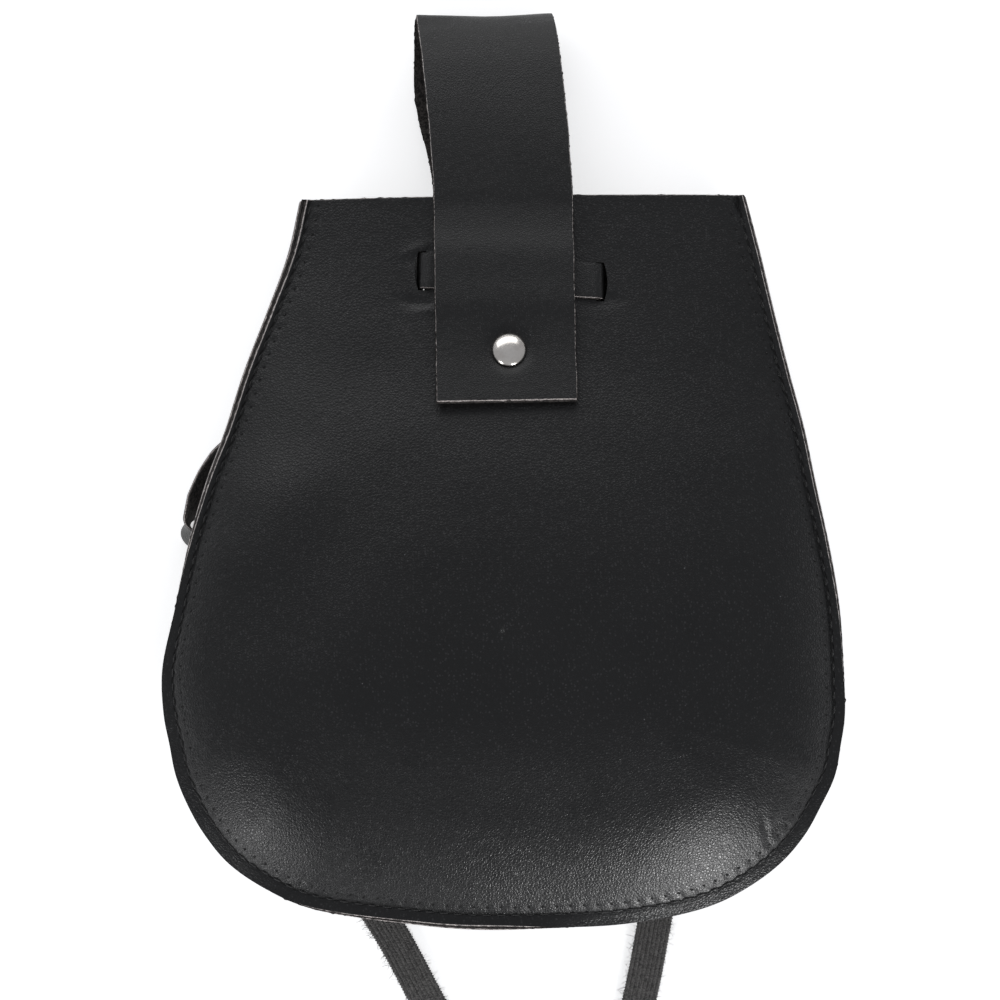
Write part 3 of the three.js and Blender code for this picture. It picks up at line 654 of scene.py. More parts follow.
class Effects:
    """The node groups that several finishes share."""

    def __init__(self) -> None:
        """Build each group once."""
        self.grain = self._grain()
        self.wear = self._wear()
        self.fibre = self._fibre()
        self.stitched = self._stitched()

    @staticmethod
    def _grain() -> bpy.types.NodeTree:
        """Pebbled leather grain: rounded cells with valleys between, in two sizes, and a mask of painted
        glints on some cells' tops.
        """
        names = {"Vector": None, "Cells": 1400.0, "Fine": 0.3}
        tree, put, out = new_group("leather_grain", names, ("Height", "Valley", "Painted glint"))
        vector, cells = put.outputs["Vector"], put.outputs["Cells"]
        warp = tree.add("ShaderNodeTexNoise", {"Vector": vector, "Scale": 420.0, "Detail": 2.0})
        reach = {0: warp.outputs["Color"], 1: (0.0011, 0.0011, 0.0011)}
        bend = tree.add("ShaderNodeVectorMath", reach, operation="MULTIPLY").outputs[0]
        place = tree.add("ShaderNodeVectorMath", {0: vector, 1: bend}, operation="ADD").outputs[0]
        at = {"Vector": place, "Scale": cells}
        walls = tree.add("ShaderNodeTexVoronoi", at, feature="DISTANCE_TO_EDGE")
        body = tree.span(walls.outputs["Distance"], 0.0, 0.3)
        swell = tree.add("ShaderNodeTexVoronoi", at, feature="F1")
        dome = tree.math("SUBTRACT", 1.0, swell.outputs["Distance"])
        chance = tree.add("ShaderNodeSeparateColor", {0: swell.outputs["Color"]}).outputs[0]
        # Mask for painted glints: the tops of some cells, chosen at random.
        painted_glint = tree.math("MULTIPLY", tree.span(dome, 0.55, 0.9), tree.span(chance, 0.25, 1.0))
        fine = tree.math("MULTIPLY", tree.noise(vector, 4200.0, 2.0, 0.6), put.outputs["Fine"])
        height = tree.math("ADD", tree.math("MULTIPLY", body, 0.55), tree.math("MULTIPLY", dome, 0.45))
        height = tree.math("ADD", height, fine)
        tree.feed(out, {"Height": height, "Valley": tree.math("SUBTRACT", 1.0, body), "Painted glint": painted_glint})
        return tree.tree

    @staticmethod
    def _wear() -> bpy.types.NodeTree:
        """Handling: large soft differences of tone, rubbed patches and fine pale lint."""
        tree, put, out = new_group("handling", {"Vector": None, "Lint": 0.5}, ("Tone", "Rubbed", "Lint"))
        vector = put.outputs["Vector"]
        tone = tree.span(tree.noise(vector, 22.0, 4.0), 0.3, 0.7)
        rubbed = tree.span(tree.noise(vector, 60.0, 5.0, 0.65), 0.52, 0.75)
        specks = tree.add("ShaderNodeTexVoronoi", {"Vector": vector, "Scale": 260.0}, feature="F1")
        near = tree.span(specks.outputs["Distance"], 0.06, 0.03)
        chance = tree.add("ShaderNodeSeparateColor", {0: specks.outputs["Color"]}).outputs[0]
        chosen = tree.math("MULTIPLY", near, tree.span(chance, 0.86, 0.9))
        lint = tree.math("MULTIPLY", chosen, put.outputs["Lint"])
        tree.feed(out, {"Tone": tone, "Rubbed": rubbed, "Lint": lint})
        return tree.tree

    @staticmethod
    def _fibre() -> bpy.types.NodeTree:
        """The rough fibres of a leather's backing and of a cut edge."""
        tree, put, out = new_group("rough_fibres", {"Vector": None, "Scale": 900.0}, ("Height", "Tone"))
        vector, scale = put.outputs["Vector"], put.outputs["Scale"]
        looks = {"Vector": vector, "Scale": scale, "Detail": 5.0, "Distortion": 1.5}
        coarse = tree.add("ShaderNodeTexNoise", looks).outputs[0]
        double = {"Vector": vector, "Scale": tree.math("MULTIPLY", scale, 2.7), "Detail": 3.0}
        fine = tree.add("ShaderNodeTexNoise", double).outputs[0]
        height = tree.math("ADD", coarse, tree.math("MULTIPLY", fine, 0.5))
        tree.feed(out, {"Height": height, "Tone": tree.span(coarse, 0.35, 0.65)})
        return tree.tree

    @staticmethod
    def _stitched() -> bpy.types.NodeTree:
        """A sewn line: a thin groove drawn in at each stitch, and a row of needle holes beside it, as masks
        for their painted shade and relief.
        """
        names = {
            "Along": 0.0,
            "Away": 0.0,
            "Pitch": 0.004,
            "Row": 0.0019,
            "Radius": 0.0004,
            "Groove": -0.0005,
        }
        tree, put, out = new_group("stitched_line", names, ("Hole", "Pull", "Groove"))
        share = tree.math("DIVIDE", put.outputs["Along"], put.outputs["Pitch"])
        step = tree.math("SUBTRACT", tree.math("FRACT", share), 0.5)
        along = tree.math("MULTIPLY", step, put.outputs["Pitch"])
        away = tree.math("SUBTRACT", put.outputs["Away"], put.outputs["Row"])
        square = tree.math("ADD", tree.math("MULTIPLY", along, along), tree.math("MULTIPLY", away, away))
        reach = tree.math("DIVIDE", tree.math("SQRT", square), put.outputs["Radius"])
        turn = tree.math("COSINE", tree.math("MULTIPLY", share, math.tau))
        aside = tree.math("SUBTRACT", put.outputs["Away"], put.outputs["Groove"])
        line = tree.math("SUBTRACT", aside, tree.math("MULTIPLY", turn, 0.00016))
        groove = tree.span(tree.math("ABSOLUTE", line), 0.00032, 0.0001)
        found = {"Hole": tree.span(reach, 1.15, 0.75), "Pull": tree.span(reach, 4.0, 1.0), "Groove": groove}
        tree.feed(out, found)
        return tree.tree


def new_material(name: str) -> tuple[bpy.types.Material, Tree, bpy.types.Node]:
    """A material with its tree and its Principled shader."""
    material = bpy.data.materials.new(name)
    material.use_nodes = True
    tree = Tree(material.node_tree)
    return material, tree, material.node_tree.nodes["Principled BSDF"]


Colour = tuple[float, float, float, float]


@dataclass(frozen=True)
class GrainLeather:
    """Smooth black leather with a fine pebbled grain, painted glints on some crests and painted shade in its
    valleys.
    """

    name: str
    colour: Colour = (0.0020, 0.0020, 0.0023, 1)
    worn: Colour = (0.0050, 0.0050, 0.0054, 1)
    painted_glint: Colour = (0.030, 0.030, 0.031, 1)
    shaded_valley: Colour = (0.0005, 0.0005, 0.0005, 1)
    lint: Colour = (0.22, 0.22, 0.23, 1)
    shadow: Colour = (0.0004, 0.0004, 0.0004, 1)
    roughness: float = 0.3
    cells: float = 1250.0
    depth: float = 0.00006
    holes: bool = False

    def make(self, effects: Effects) -> bpy.types.Material:
        """Build the material.

        Args:
            effects: the shared node groups.

        Returns:
            The material.
        """
        material, tree, shader = new_material(self.name)
        place = tree.place()
        grain = tree.group(effects.grain, {"Vector": place, "Cells": self.cells})
        wear = tree.group(effects.wear, {"Vector": place})
        shaded_valley = grain["Valley"]
        tone = tree.mix(wear["Tone"], self.colour, self.worn)
        # Painted shade: the grain's valleys are darkened to near black.
        tone = tree.mix(tree.math("MULTIPLY", shaded_valley, 0.7), tone, self.shaded_valley)
        # Painted highlight: some crests of the grain are lightened into glints.
        tone = tree.mix(grain["Painted glint"], tone, self.painted_glint)
        tone = tree.mix(wear["Lint"], tone, self.lint)
        rough = tree.math("ADD", tree.math("MULTIPLY", wear["Rubbed"], -0.07), self.roughness)
        rough = tree.math("ADD", rough, tree.math("MULTIPLY", shaded_valley, 0.12))
        height = grain["Height"]
        if self.holes:
            places = {"Along": tree.field("along"), "Away": tree.field("away")}
            row = tree.group(effects.stitched, places)
            # Painted shade in the needle holes and along the stitched groove.
            dark = tree.math("MAXIMUM", row["Hole"], row["Groove"])
            tone = tree.mix(dark, tone, self.shadow)
            height = tree.math("SUBTRACT", height, tree.math("MULTIPLY", dark, 4.0))
            height = tree.math("SUBTRACT", height, tree.math("MULTIPLY", row["Pull"], 0.5))
            rough = tree.math("ADD", rough, tree.math("MULTIPLY", dark, 0.5))
        tree.feed(shader, {
            "Base Color": tone,
            "Roughness": rough,
            "Normal": tree.normal(height, self.depth),
            "Specular IOR Level": 0.5,
        })
        return material


@dataclass(frozen=True)
class RawLeather:
    """The rough side or the cut core of a leather."""

    name: str
    dark: Colour
    light: Colour
    scale: float = 900.0
    depth: float = 0.00025
    roughness: float = 0.95

    def make(self, effects: Effects) -> bpy.types.Material:
        """Build the material from the shared node groups."""
        material, tree, shader = new_material(self.name)
        fibre = tree.group(effects.fibre, {"Vector": tree.place(), "Scale": self.scale})
        tree.feed(shader, {
            "Base Color": tree.mix(fibre["Tone"], self.dark, self.light),
            "Roughness": self.roughness,
            "Normal": tree.normal(fibre["Height"], self.depth),
            "Specular IOR Level": 0.25,
        })
        return material


@dataclass(frozen=True)
class Nickel:
    """Polished nickel plate with faint scratches and a little tarnish."""

    name: str = "nickel_polished"
    colour: Colour = (0.88, 0.84, 0.79, 1)
    tarnish: Colour = (0.74, 0.69, 0.64, 1)
    roughness: float = 0.17

    def make(self, effects: Effects) -> bpy.types.Material:
        """Build the material from the shared node groups."""
        material, tree, shader = new_material(self.name)
        place = tree.place()
        fibre = tree.group(effects.fibre, {"Vector": place, "Scale": 500.0})
        spread = tree.span(tree.noise(place, 260.0, 4.0), 0.45, 0.8)
        tree.feed(shader, {
            "Base Color": tree.mix(spread, self.colour, self.tarnish),
            "Roughness": tree.math("ADD", tree.math("MULTIPLY", fibre["Tone"], 0.08), self.roughness),
            "Normal": tree.normal(fibre["Height"], 0.00002, 0.12),
            "Metallic": 1.0,
        })
        return material


@dataclass(frozen=True)
class Yarn:
    """Dull spun yarn, for the woven tapes, their loose threads and the sewing thread."""

    name: str
    dark: Colour
    light: Colour
    lint: Colour = (0.3, 0.29, 0.28, 1)
    scale: float = 1600.0

    def make(self, effects: Effects) -> bpy.types.Material:
        """Build the material from the shared node groups."""
        material, tree, shader = new_material(self.name)
        place = tree.place()
        fibre = tree.group(effects.fibre, {"Vector": place, "Scale": self.scale})
        wear = tree.group(effects.wear, {"Vector": place})
        tone = tree.mix(fibre["Tone"], self.dark, self.light)
        tree.feed(shader, {
            "Base Color": tree.mix(wear["Lint"], tone, self.lint),
            "Normal": tree.normal(fibre["Height"], 0.00015),
            "Roughness": 0.95,
            "Specular IOR Level": 0.2,
            "Sheen Weight": 0.25,
        })
        return material


@dataclass(frozen=True)
class Finishes:
    """Every material of the pouch, built once."""

    panel: bpy.types.Material
    strap: bpy.types.Material
    core: bpy.types.Material
    backing: bpy.types.Material
    nickel: bpy.types.Material
    webbing: bpy.types.Material
    thread: bpy.types.Material

    @classmethod
    def build(cls) -> "Finishes":
        """Build the shared groups and the materials."""
        effects = Effects()
        core = RawLeather("leather_core", (0.16, 0.14, 0.135, 1), (0.62, 0.57, 0.55, 1), 2200.0, 0.00012)
        backing = RawLeather("leather_backing", (0.010, 0.009, 0.009, 1), (0.052, 0.046, 0.043, 1))
        webbing = Yarn("webbing_woven", (0.045, 0.043, 0.042, 1), (0.15, 0.145, 0.14, 1))
        thread = Yarn("sewing_thread", (0.006, 0.006, 0.006, 1), (0.03, 0.03, 0.03, 1), scale=3000.0)
        return cls(
            panel=GrainLeather("leather_panel", holes=True).make(effects),
            strap=GrainLeather("leather_strap", roughness=0.34, cells=1700.0).make(effects),
            core=core.make(effects),
            backing=backing.make(effects),
            nickel=Nickel().make(effects),
            webbing=webbing.make(effects),
            thread=thread.make(effects),
        )

    def leather(self, grain: bpy.types.Material) -> list[bpy.types.Material]:
        """The three materials of a sheet of leather."""
        return [grain, self.core, self.backing]


# The body


@dataclass
class PouchBody:
    """The soft body: a back and a front panel sewn together round an outline, with a flange outside."""

    height: float = 206.0
    half_width: float = 95.5
    wall: float = 1.5
    gap: float = 0.3
    flange: float = 5.0
    flange_turn: float = 32.0
    edge_step: float = 0.95
    seam_height: float = 20.0
    back_depth: float = 18.5
    front_depth: float = 22.0
    back_rise: float = 21.0
    front_rise: float = 15.0
    level_from: float = 30.0
    level_by: float = 66.0
    spine_foot: float = 0.42
    stitch: float = 4.0
    per_station: int = 12
    side_stations: int = 16
    all_stations: int = 56
    flange_rows: int = 8
    wall_rows: int = 44
    near_seam: float = 24.0
    ease_in: float = 1.3
    bevel: float = 0.55
    mouth_tilt: float = 0.0115
    mouth_over: float = 0.35
    corner: float = 0.35
    mouth_from: float = 0.75
    groove_depth: float = 0.34
    groove_away: float = -0.5
    groove_reach: float = 0.6
    pull_height: float = 0.16
    pull_away: float = 0.9
    pull_reach: float = 1.3
    tight_at: tuple[float, float] = (50.0, 12.0)
    tight_reach: tuple[float, float] = (32.0, 26.0)
    thread_away: float = -0.45
    seam_points: np.ndarray = field(init=False)

    def __post_init__(self) -> None:
        """Lay the outline and the seam inside it."""
        at = {side: SECTIONS[side] * self.half_width for side in ("left", "right")}
        y = SECTIONS["height"] * self.height
        left = np.column_stack([-at["left"], y])[::-1]
        right = np.column_stack([at["right"], y])[1:]
        self.outline = Route(np.vstack([left, right]))
        self.count = self.all_stations * self.per_station
        self.share = np.arange(self.count + 1) / self.count
        self.edge = self.outline.at(self.share)
        heading = self.outline.heading(self.share)
        self.inward = np.column_stack([-heading[:, 1], heading[:, 0]])
        self.turn = np.radians(self.soft(FLANGE, "along", "turn", self.share, 0.012) * self.flange_turn)
        self.step = self.soft(FLANGE, "along", "step", self.share, 0.012) * self.edge_step
        self.skived = self.soft(SKIVING, "along", "share", self.share, 0.01) * self.bevel
        self.along = self.share * self.outline.length
        self.reach = self.soft(FLANGE, "along", "width", self.share, 0.012) * self.flange * np.cos(self.turn)
        seam = self.edge + self.inward * self.reach[:, None]
        self.seam_points = self.level_mouth(seam[:, None, :])[:, 0]

    @staticmethod
    def soft(rows: Table, key: str, name: str, at: np.ndarray, blur: float) -> np.ndarray:
        """A table's column at places between its rows, with its corners rounded over about blur."""
        taps = ((-1, 0.12), (-0.5, 0.22), (0, 0.32), (0.5, 0.22), (1, 0.12))
        places = np.asarray(at)
        return sum(weight * np.interp(places + blur * tap, rows[key], rows[name]) for tap, weight in taps)

    def section(self, name: str, y: np.ndarray) -> np.ndarray:
        """A column of the sections at given heights on the body."""
        return self.soft(SECTIONS, "height", name, np.asarray(y) / self.height, 0.03)

    def level_mouth(self, plan: np.ndarray) -> np.ndarray:
        """Move the first and last rows of places in plan onto the mouth's line, fading out below it."""
        fixed = plan.copy()
        fade = np.clip(1 - np.arange(self.count + 1) / self.per_station, 0, 1)[:, None]
        fixed[..., 1] += fade * (self.height - plan[0, :, 1]) + fade[::-1] * (self.height - plan[-1, :, 1])
        return fixed

    def seam_distance(self, x: np.ndarray, y: np.ndarray) -> np.ndarray:
        """The distance in plan from places inside the body to the seam."""
        a, b = self.seam_points[:-1], self.seam_points[1:]
        step = b - a
        square = (step**2).sum(1)
        flat = np.column_stack([np.ravel(x), np.ravel(y)])
        found = np.empty(len(flat))
        for start in range(0, len(flat), 3000):
            part = flat[start : start + 3000, None, :] - a[None]
            share = np.clip((part * step).sum(2) / square, 0, 1)
            found[start : start + 3000] = np.linalg.norm(part - share[..., None] * step, axis=2).min(1)
        return found.reshape(np.shape(x))

    def seam_level(self, y: np.ndarray) -> np.ndarray:
        """The seam's height over the surface."""
        return self.section("seam", y) * self.seam_height

    def fold_rise(self, x: np.ndarray, y: np.ndarray) -> np.ndarray:
        """How much the soft folds raise the back panel."""
        rows = {
            "x": FOLDS["aside"] * self.half_width,
            "y": FOLDS["height"] * self.height,
            "length": FOLDS["length"] * self.half_width,
            "width": FOLDS["width"] * self.half_width,
            "turn": FOLDS["turn"],
            "depth": FOLDS["depth"] * self.back_depth,
        }
        return bumps(x, y, rows)

    def slack(self, distance: np.ndarray, rise: float) -> np.ndarray:
        """How much of a panel's swell is missing at a distance from the seam; in the middle nothing is."""
        share = np.clip((distance - self.level_from) / (self.level_by - self.level_from), 0, 1)
        return np.exp(-distance / rise) * (1 - share * share * (3 - 2 * share))

    def back_inside(self, x: np.ndarray, y: np.ndarray) -> np.ndarray:
        """The back panel's inner face over the surface."""
        swell = 1 - self.slack(self.seam_distance(x, y), self.back_rise)
        depth = self.section("back", y) * self.back_depth + self.fold_rise(x, y)
        return self.seam_level(y) + self.gap / 2 + swell * depth

    def back_outside(self, x: float, y: float) -> float:
        """The back panel's outer face straight over one place."""
        h = self.gap
        xs, ys = np.array([x, x + h, x - h, x, x]), np.array([y, y, y, y + h, y - h])
        z = self.back_inside(xs, ys)
        return float(z[0] + self.wall * math.hypot(1, (z[1] - z[2]) / (2 * h), (z[3] - z[4]) / (2 * h)))

    def front_outside(self, x: float, y: float) -> float:
        """The front panel's outer face straight under one place."""
        swell = 1 - self.slack(self.seam_distance(np.array([x]), np.array([y])), self.front_rise)
        free = self.seam_level(y) - self.gap / 2 - swell * self.section("front", y) * self.front_depth
        return float(max(free[0], self.wall) - self.wall)

    def plan(self, side: Side, inset: np.ndarray) -> tuple[np.ndarray, np.ndarray]:
        """The places in plan of a panel's grid.

        Args:
            side: which panel.
            inset: how far the cut edge is set in, for each station.

        Returns:
            The places, stations by rows by two, and their distances in from the seam.
        """
        step = self.step * np.cos(self.turn) if side is Side.BACK else 0
        cut = self.edge + self.inward * (inset + step)[:, None]
        raw_seam = self.edge + self.inward * self.reach[:, None]
        shares = np.linspace(0, 1, self.flange_rows + 1)
        flange = between(cut[:, None, :], raw_seam[:, None, :], shares[None, :, None])
        width = np.linalg.norm(raw_seam - cut, axis=1)
        flange_in = -(1 - shares)[None] * width[:, None]
        flange = self.level_mouth(flange)
        sides = self.side_stations * self.per_station
        station = np.arange(self.count + 1)
        steps = np.minimum(np.minimum(station, sides), self.count - station) / sides
        top_x = (self.edge[0, 0] + self.edge[-1, 0]) / 2
        spine = between(self.height, self.spine_foot * self.height, steps)
        middle = np.column_stack([top_x * (1 - steps), spine])
        seam = flange[:, -1]
        reach = np.linalg.norm(middle - seam, axis=1)
        t = np.linspace(0, 1, self.wall_rows + 1)[None, 1:]
        weight = t**self.ease_in
        wall_in = t * ((1 - weight) * self.near_seam + weight * reach[:, None])
        wall = between(seam[:, None], middle[:, None], (wall_in / reach[:, None])[..., None])
        return np.concatenate([flange, wall], axis=1), np.concatenate([flange_in, wall_in], axis=1)

    def detail(
        self, x: np.ndarray, y: np.ndarray, away: np.ndarray, along: np.ndarray, edge_in: np.ndarray
    ) -> np.ndarray:
        """What the stitching and handling add to a panel's outer face.

        Args:
            x: places along X.
            y: places along Y.
            away: their distances in from the seam.
            along: their distances round the outline.
            edge_in: their distances in from the cut edge.

        Returns:
            The rise at each place: the groove, the pull of its stitches and small unevenness.
        """
        beat = np.cos(along * math.tau / self.stitch)
        in_groove = np.exp(-(((away - self.groove_away) / self.groove_reach) ** 2))
        groove = -self.groove_depth * in_groove * (0.8 + 0.2 * beat)
        aside = (x - self.tight_at[0]) / self.tight_reach[0]
        over = (y - self.tight_at[1]) / self.tight_reach[1]
        tight = 0.35 + 0.65 * np.exp(-(aside**2) - over**2)
        at_holes = np.exp(-(((away - self.pull_away) / self.pull_reach) ** 2))
        pull = self.pull_height * tight * beat * at_holes
        uneven = ripple(x, y, seed=3, wave=24, height=0.10) + ripple(x, y, seed=4, wave=7, height=0.018)
        at_cut = np.exp(-((edge_in / 1.6) ** 2))
        cut_wave = ripple(along, along * 0, seed=9, wave=9, height=0.07) * at_cut
        return groove + pull + uneven * np.clip((away + 1) / 8, 0, 1) + cut_wave

    def panel(self, side: Side, materials: Sequence[bpy.types.Material]) -> bpy.types.Object:
        """Build one panel.

        Args:
            side: which panel.
            materials: of its grain, core and backing.

        Returns:
            The leather piece, not yet pierced.
        """
        up = side.value
        depth, rise, share_of = self.swell_of(side)
        lean = np.sin(self.turn) * self.wall
        slant = self.skived * np.cos(self.turn)
        grain_in, back_in = (lean + slant, np.zeros_like(lean)) if up > 0 else (-lean, slant)
        faces = []
        fields: dict[str, np.ndarray] = {}
        for is_grain, inset in ((True, grain_in), (False, back_in)):
            plan, away = self.plan(side, inset)
            x, y = plan[..., 0], plan[..., 1]
            distance = np.where(away > 0, self.seam_distance(x, y), 0)
            share = self.section(share_of, y)
            full = share * depth + (self.fold_rise(x, y) if up > 0 else 0)
            start = share * depth / rise
            slope = start * np.exp(-distance / rise)
            level = self.seam_level(y)
            wall = up * (self.gap / 2 + (1 - self.slack(distance, rise)) * full + start * np.minimum(away, 0))
            turned = np.broadcast_to(self.turn[:, None], x.shape)
            rise_out = np.where(away > 0, np.maximum(np.tan(turned), 0) * up, np.tan(turned))
            flat = -away * rise_out + up * self.gap / 2 / np.cos(turned)
            if is_grain:
                wall = wall + up * self.wall * np.hypot(1, slope)
                flat = flat + up * self.wall / np.cos(turned)
                joined = self.rounded(wall, flat, side)
                edge_in = away + self.reach[:, None]
                joined = joined + up * self.detail(x, y, away, self.along[:, None], edge_in)
                if up > 0:
                    joined = joined - bumps(x, y, CREASES) - self.rivet_dip(x, y)
                fields = {"along": np.broadcast_to(self.along[:, None], x.shape), "away": away}
            else:
                joined = np.where(away > 0, wall, flat)
                if up > 0:
                    joined = joined - np.where(away > 2, self.rivet_dip(x, y), 0)
            z = level + joined
            if up < 0:
                z = smooth_max(z, 0.0 if is_grain else self.wall, 0.5)
            near_mouth = np.clip((y / self.height - self.mouth_from) / (1 - self.mouth_from), 0, 1)
            y = y + self.mouth_tilt * x * near_mouth**2
            if is_grain:
                y[[0, -1]] -= self.mouth_over
            faces.append(np.stack([x, y, z], axis=-1))
        name = "back_leather" if up > 0 else "front_leather"
        rim, seed = Rim.NOT_LAST_COLUMN, 11 + up
        return leather_sheet(name, faces[0], faces[1], rim, up < 0, materials, fields, seed)

    def swell_of(self, side: Side) -> tuple[float, float, str]:
        """The depth and the rise of a panel's swell and the name of its column in the sections."""
        if side is Side.BACK:
            return self.back_depth, self.back_rise, "back"
        return self.front_depth, self.front_rise, "front"

    def rounded(self, wall: np.ndarray, flat: np.ndarray, side: Side) -> np.ndarray:
        """A panel's outer face where its wall meets its flange, with the corner rounded over."""
        return (smooth_max if side is Side.BACK else smooth_min)(wall, flat, self.corner)

    @staticmethod
    def rivet_dip(x: np.ndarray, y: np.ndarray) -> np.ndarray:
        """How far the rivet draws the layers under it down: a wide shallow dip with a deeper one in it."""
        square = (x - RIVET_AT[0]) ** 2 + (y - RIVET_AT[1]) ** 2
        wide, wide_reach = WIDE_DIP
        deep, deep_reach = DEEP_DIP
        return wide * np.exp(-square / wide_reach**2) + deep * np.exp(-((square / deep_reach**2) ** 2))

    def groove_line(self, side: Side) -> np.ndarray:
        """The line of the stitches in the groove of one panel, one place for each station."""
        away = np.full(self.count + 1, self.thread_away)
        plan = self.seam_points + self.inward * self.thread_away
        x, y = plan[:, 0], plan[:, 1]
        up = side.value
        depth, rise, share_of = self.swell_of(side)
        start = self.section(share_of, y) * depth / rise
        wall = up * (self.gap / 2 + start * away + self.wall * np.hypot(1, start))
        flat = -away * np.tan(self.turn) + up * (self.gap / 2 + self.wall) / np.cos(self.turn)
        detail = self.detail(x, y, away, self.along, away + self.reach)
        z = self.seam_level(y) + self.rounded(wall, flat, side) + up * detail
        return np.column_stack([x, y, np.maximum(z, 0.4)])


@dataclass
class SeamThread:
    """The sewing thread: one small stitch after another down in the groove."""

    pitch: float = 4.0
    length: float = 3.1
    radius: float = 0.34
    dip: float = 0.7
    sides: int = 8
    rings: int = 9

    def build(self, body: PouchBody, side: Side, material: bpy.types.Material) -> bpy.types.Object:
        """Lay the stitches of one side.

        Args:
            body: the pouch's body.
            side: the panel whose groove they lie in.
            material: the thread's.

        Returns:
            The piece with all of that side's stitches.
        """
        line = Route(body.groove_line(side)[:: body.per_station // 2])
        up = np.array((0, 0, side.value), float)
        turns = np.arange(self.sides) * math.tau / self.sides
        points, faces = [], []
        count = int((line.length - self.pitch) // self.pitch)
        for k in range(count):
            start = (k + 0.6) * self.pitch
            share = np.linspace(0, 1, self.rings)
            way = (start + share * self.length) / line.length
            centre = line.at(way)
            ahead = line.heading(way)
            arch = np.sin(share * math.pi) ** 0.6
            centre = centre + up * ((arch - 1) * self.dip + 0.1)[:, None]
            across = unit(np.cross(ahead, up))
            over = np.cross(across, ahead)
            thick = self.radius * (0.55 + 0.45 * arch)
            ring = (
                centre[:, None]
                + across[:, None] * (np.cos(turns)[None, :, None] * thick[:, None, None])
                + over[:, None] * (np.sin(turns)[None, :, None] * thick[:, None, None])
            )
            points.append(ring.reshape(-1, 3))
            faces.append(tube_faces(self.rings, self.sides) + k * self.rings * self.sides)
        quads = np.vstack(faces)
        name = "seam_thread_back" if side is Side.BACK else "seam_thread_front"
        return finished_object(name, np.vstack(points), quads, np.zeros(len(quads), int), [material])


def tube_faces(rings: int, sides: int) -> np.ndarray:
    """The quads of a closed tube of rings, with a fan of narrow quads over each end."""
    number = np.arange(rings * sides).reshape(rings, sides)
    half = sides // 2
    caps = []
    for ring, turned in ((number[0], True), (number[-1], False)):
        for k in range(half - 1):
            quad = [ring[k], ring[k + 1], ring[sides - 2 - k], ring[sides - 1 - k]]
            caps.append(quad[::-1] if turned else quad)
    return np.vstack([tube_quads(number), np.array(caps)])


# Bands of leather


def band_sheet(
    name: str,
    places: np.ndarray,
    across: np.ndarray,
    grain_way: np.ndarray,
    width: float,
    thickness: float,
    columns: int,
    closed: bool,
    materials: Sequence[bpy.types.Material],
    seed: int,
    bevel: tuple[float, float],
    end_bevel: float = 0.0,
    lift: np.ndarray | None = None,
) -> bpy.types.Object:
    """A band of leather along a line of places.

    Args:
        name: the piece's name.
        places: the band's middle, one row for each station.
        across: the direction across it.
        grain_way: the direction out of its grain side.
        width: of the band.
        thickness: of the band.
        columns: how many places there are across it.
        closed: whether it is a ring.
        materials: of its grain, core and backing.
        seed: of the unevenness.
        bevel: how far each of the grain's two sides is set in.
        end_bevel: how far the grain's ends are set in, on a band that isn't a ring.
        lift: a rise along the grain's direction for each place of the grid, on both faces.

    Returns:
        The new object.
    """
    count = len(places)
    rng = np.random.default_rng(seed)
    aside = np.linspace(-1, 1, columns)
    steps = np.linalg.norm(np.diff(places, axis=0), axis=1)
    along = np.concatenate([[0], np.cumsum(steps)])
    wobble = [ripple(along, along * 0, seed + k, wave=9, height=0.06) for k in (1, 2)]
    grids = []
    for face, inset in ((1, np.where(aside < 0, *bevel)), (-1, 0 * aside)):
        half = width / 2 - inset
        uneven = np.where(aside < 0, wobble[0][:, None], wobble[1][:, None])
        reach = (aside * half)[None] + uneven * np.abs(aside) ** 8
        grid = places[:, None] + across[:, None] * reach[..., None]
        round_off = -0.12 * np.abs(aside) ** 12 if face > 0 else 0 * aside
        rise = face * thickness / 2 + round_off[None] + (0 if lift is None else lift)
        grid = grid + grain_way[:, None] * np.broadcast_to(rise, reach.shape)[..., None]
        grids.append(grid)
    if end_bevel and not closed:
        for row, nxt in ((0, 1), (-1, -2)):
            way = unit(places[nxt] - places[row])
            rough = rng.normal(0, 0.05, (columns, 1)) + 1
            grids[0][row] += way * end_bevel * rough
            grids[0][nxt] = between(grids[0][row], grids[0][2 if row == 0 else -3], 0.5)
    fields = {
        "along": np.repeat(along[:, None], columns, 1),
        "away": np.repeat(((1 - np.abs(aside)) * width / 2)[None], count, 0),
    }
    rim = Rim.BOTH_COLUMNS if closed else Rim.ALL
    return leather_sheet(name, grids[0], grids[1], rim, False, materials, fields, seed)


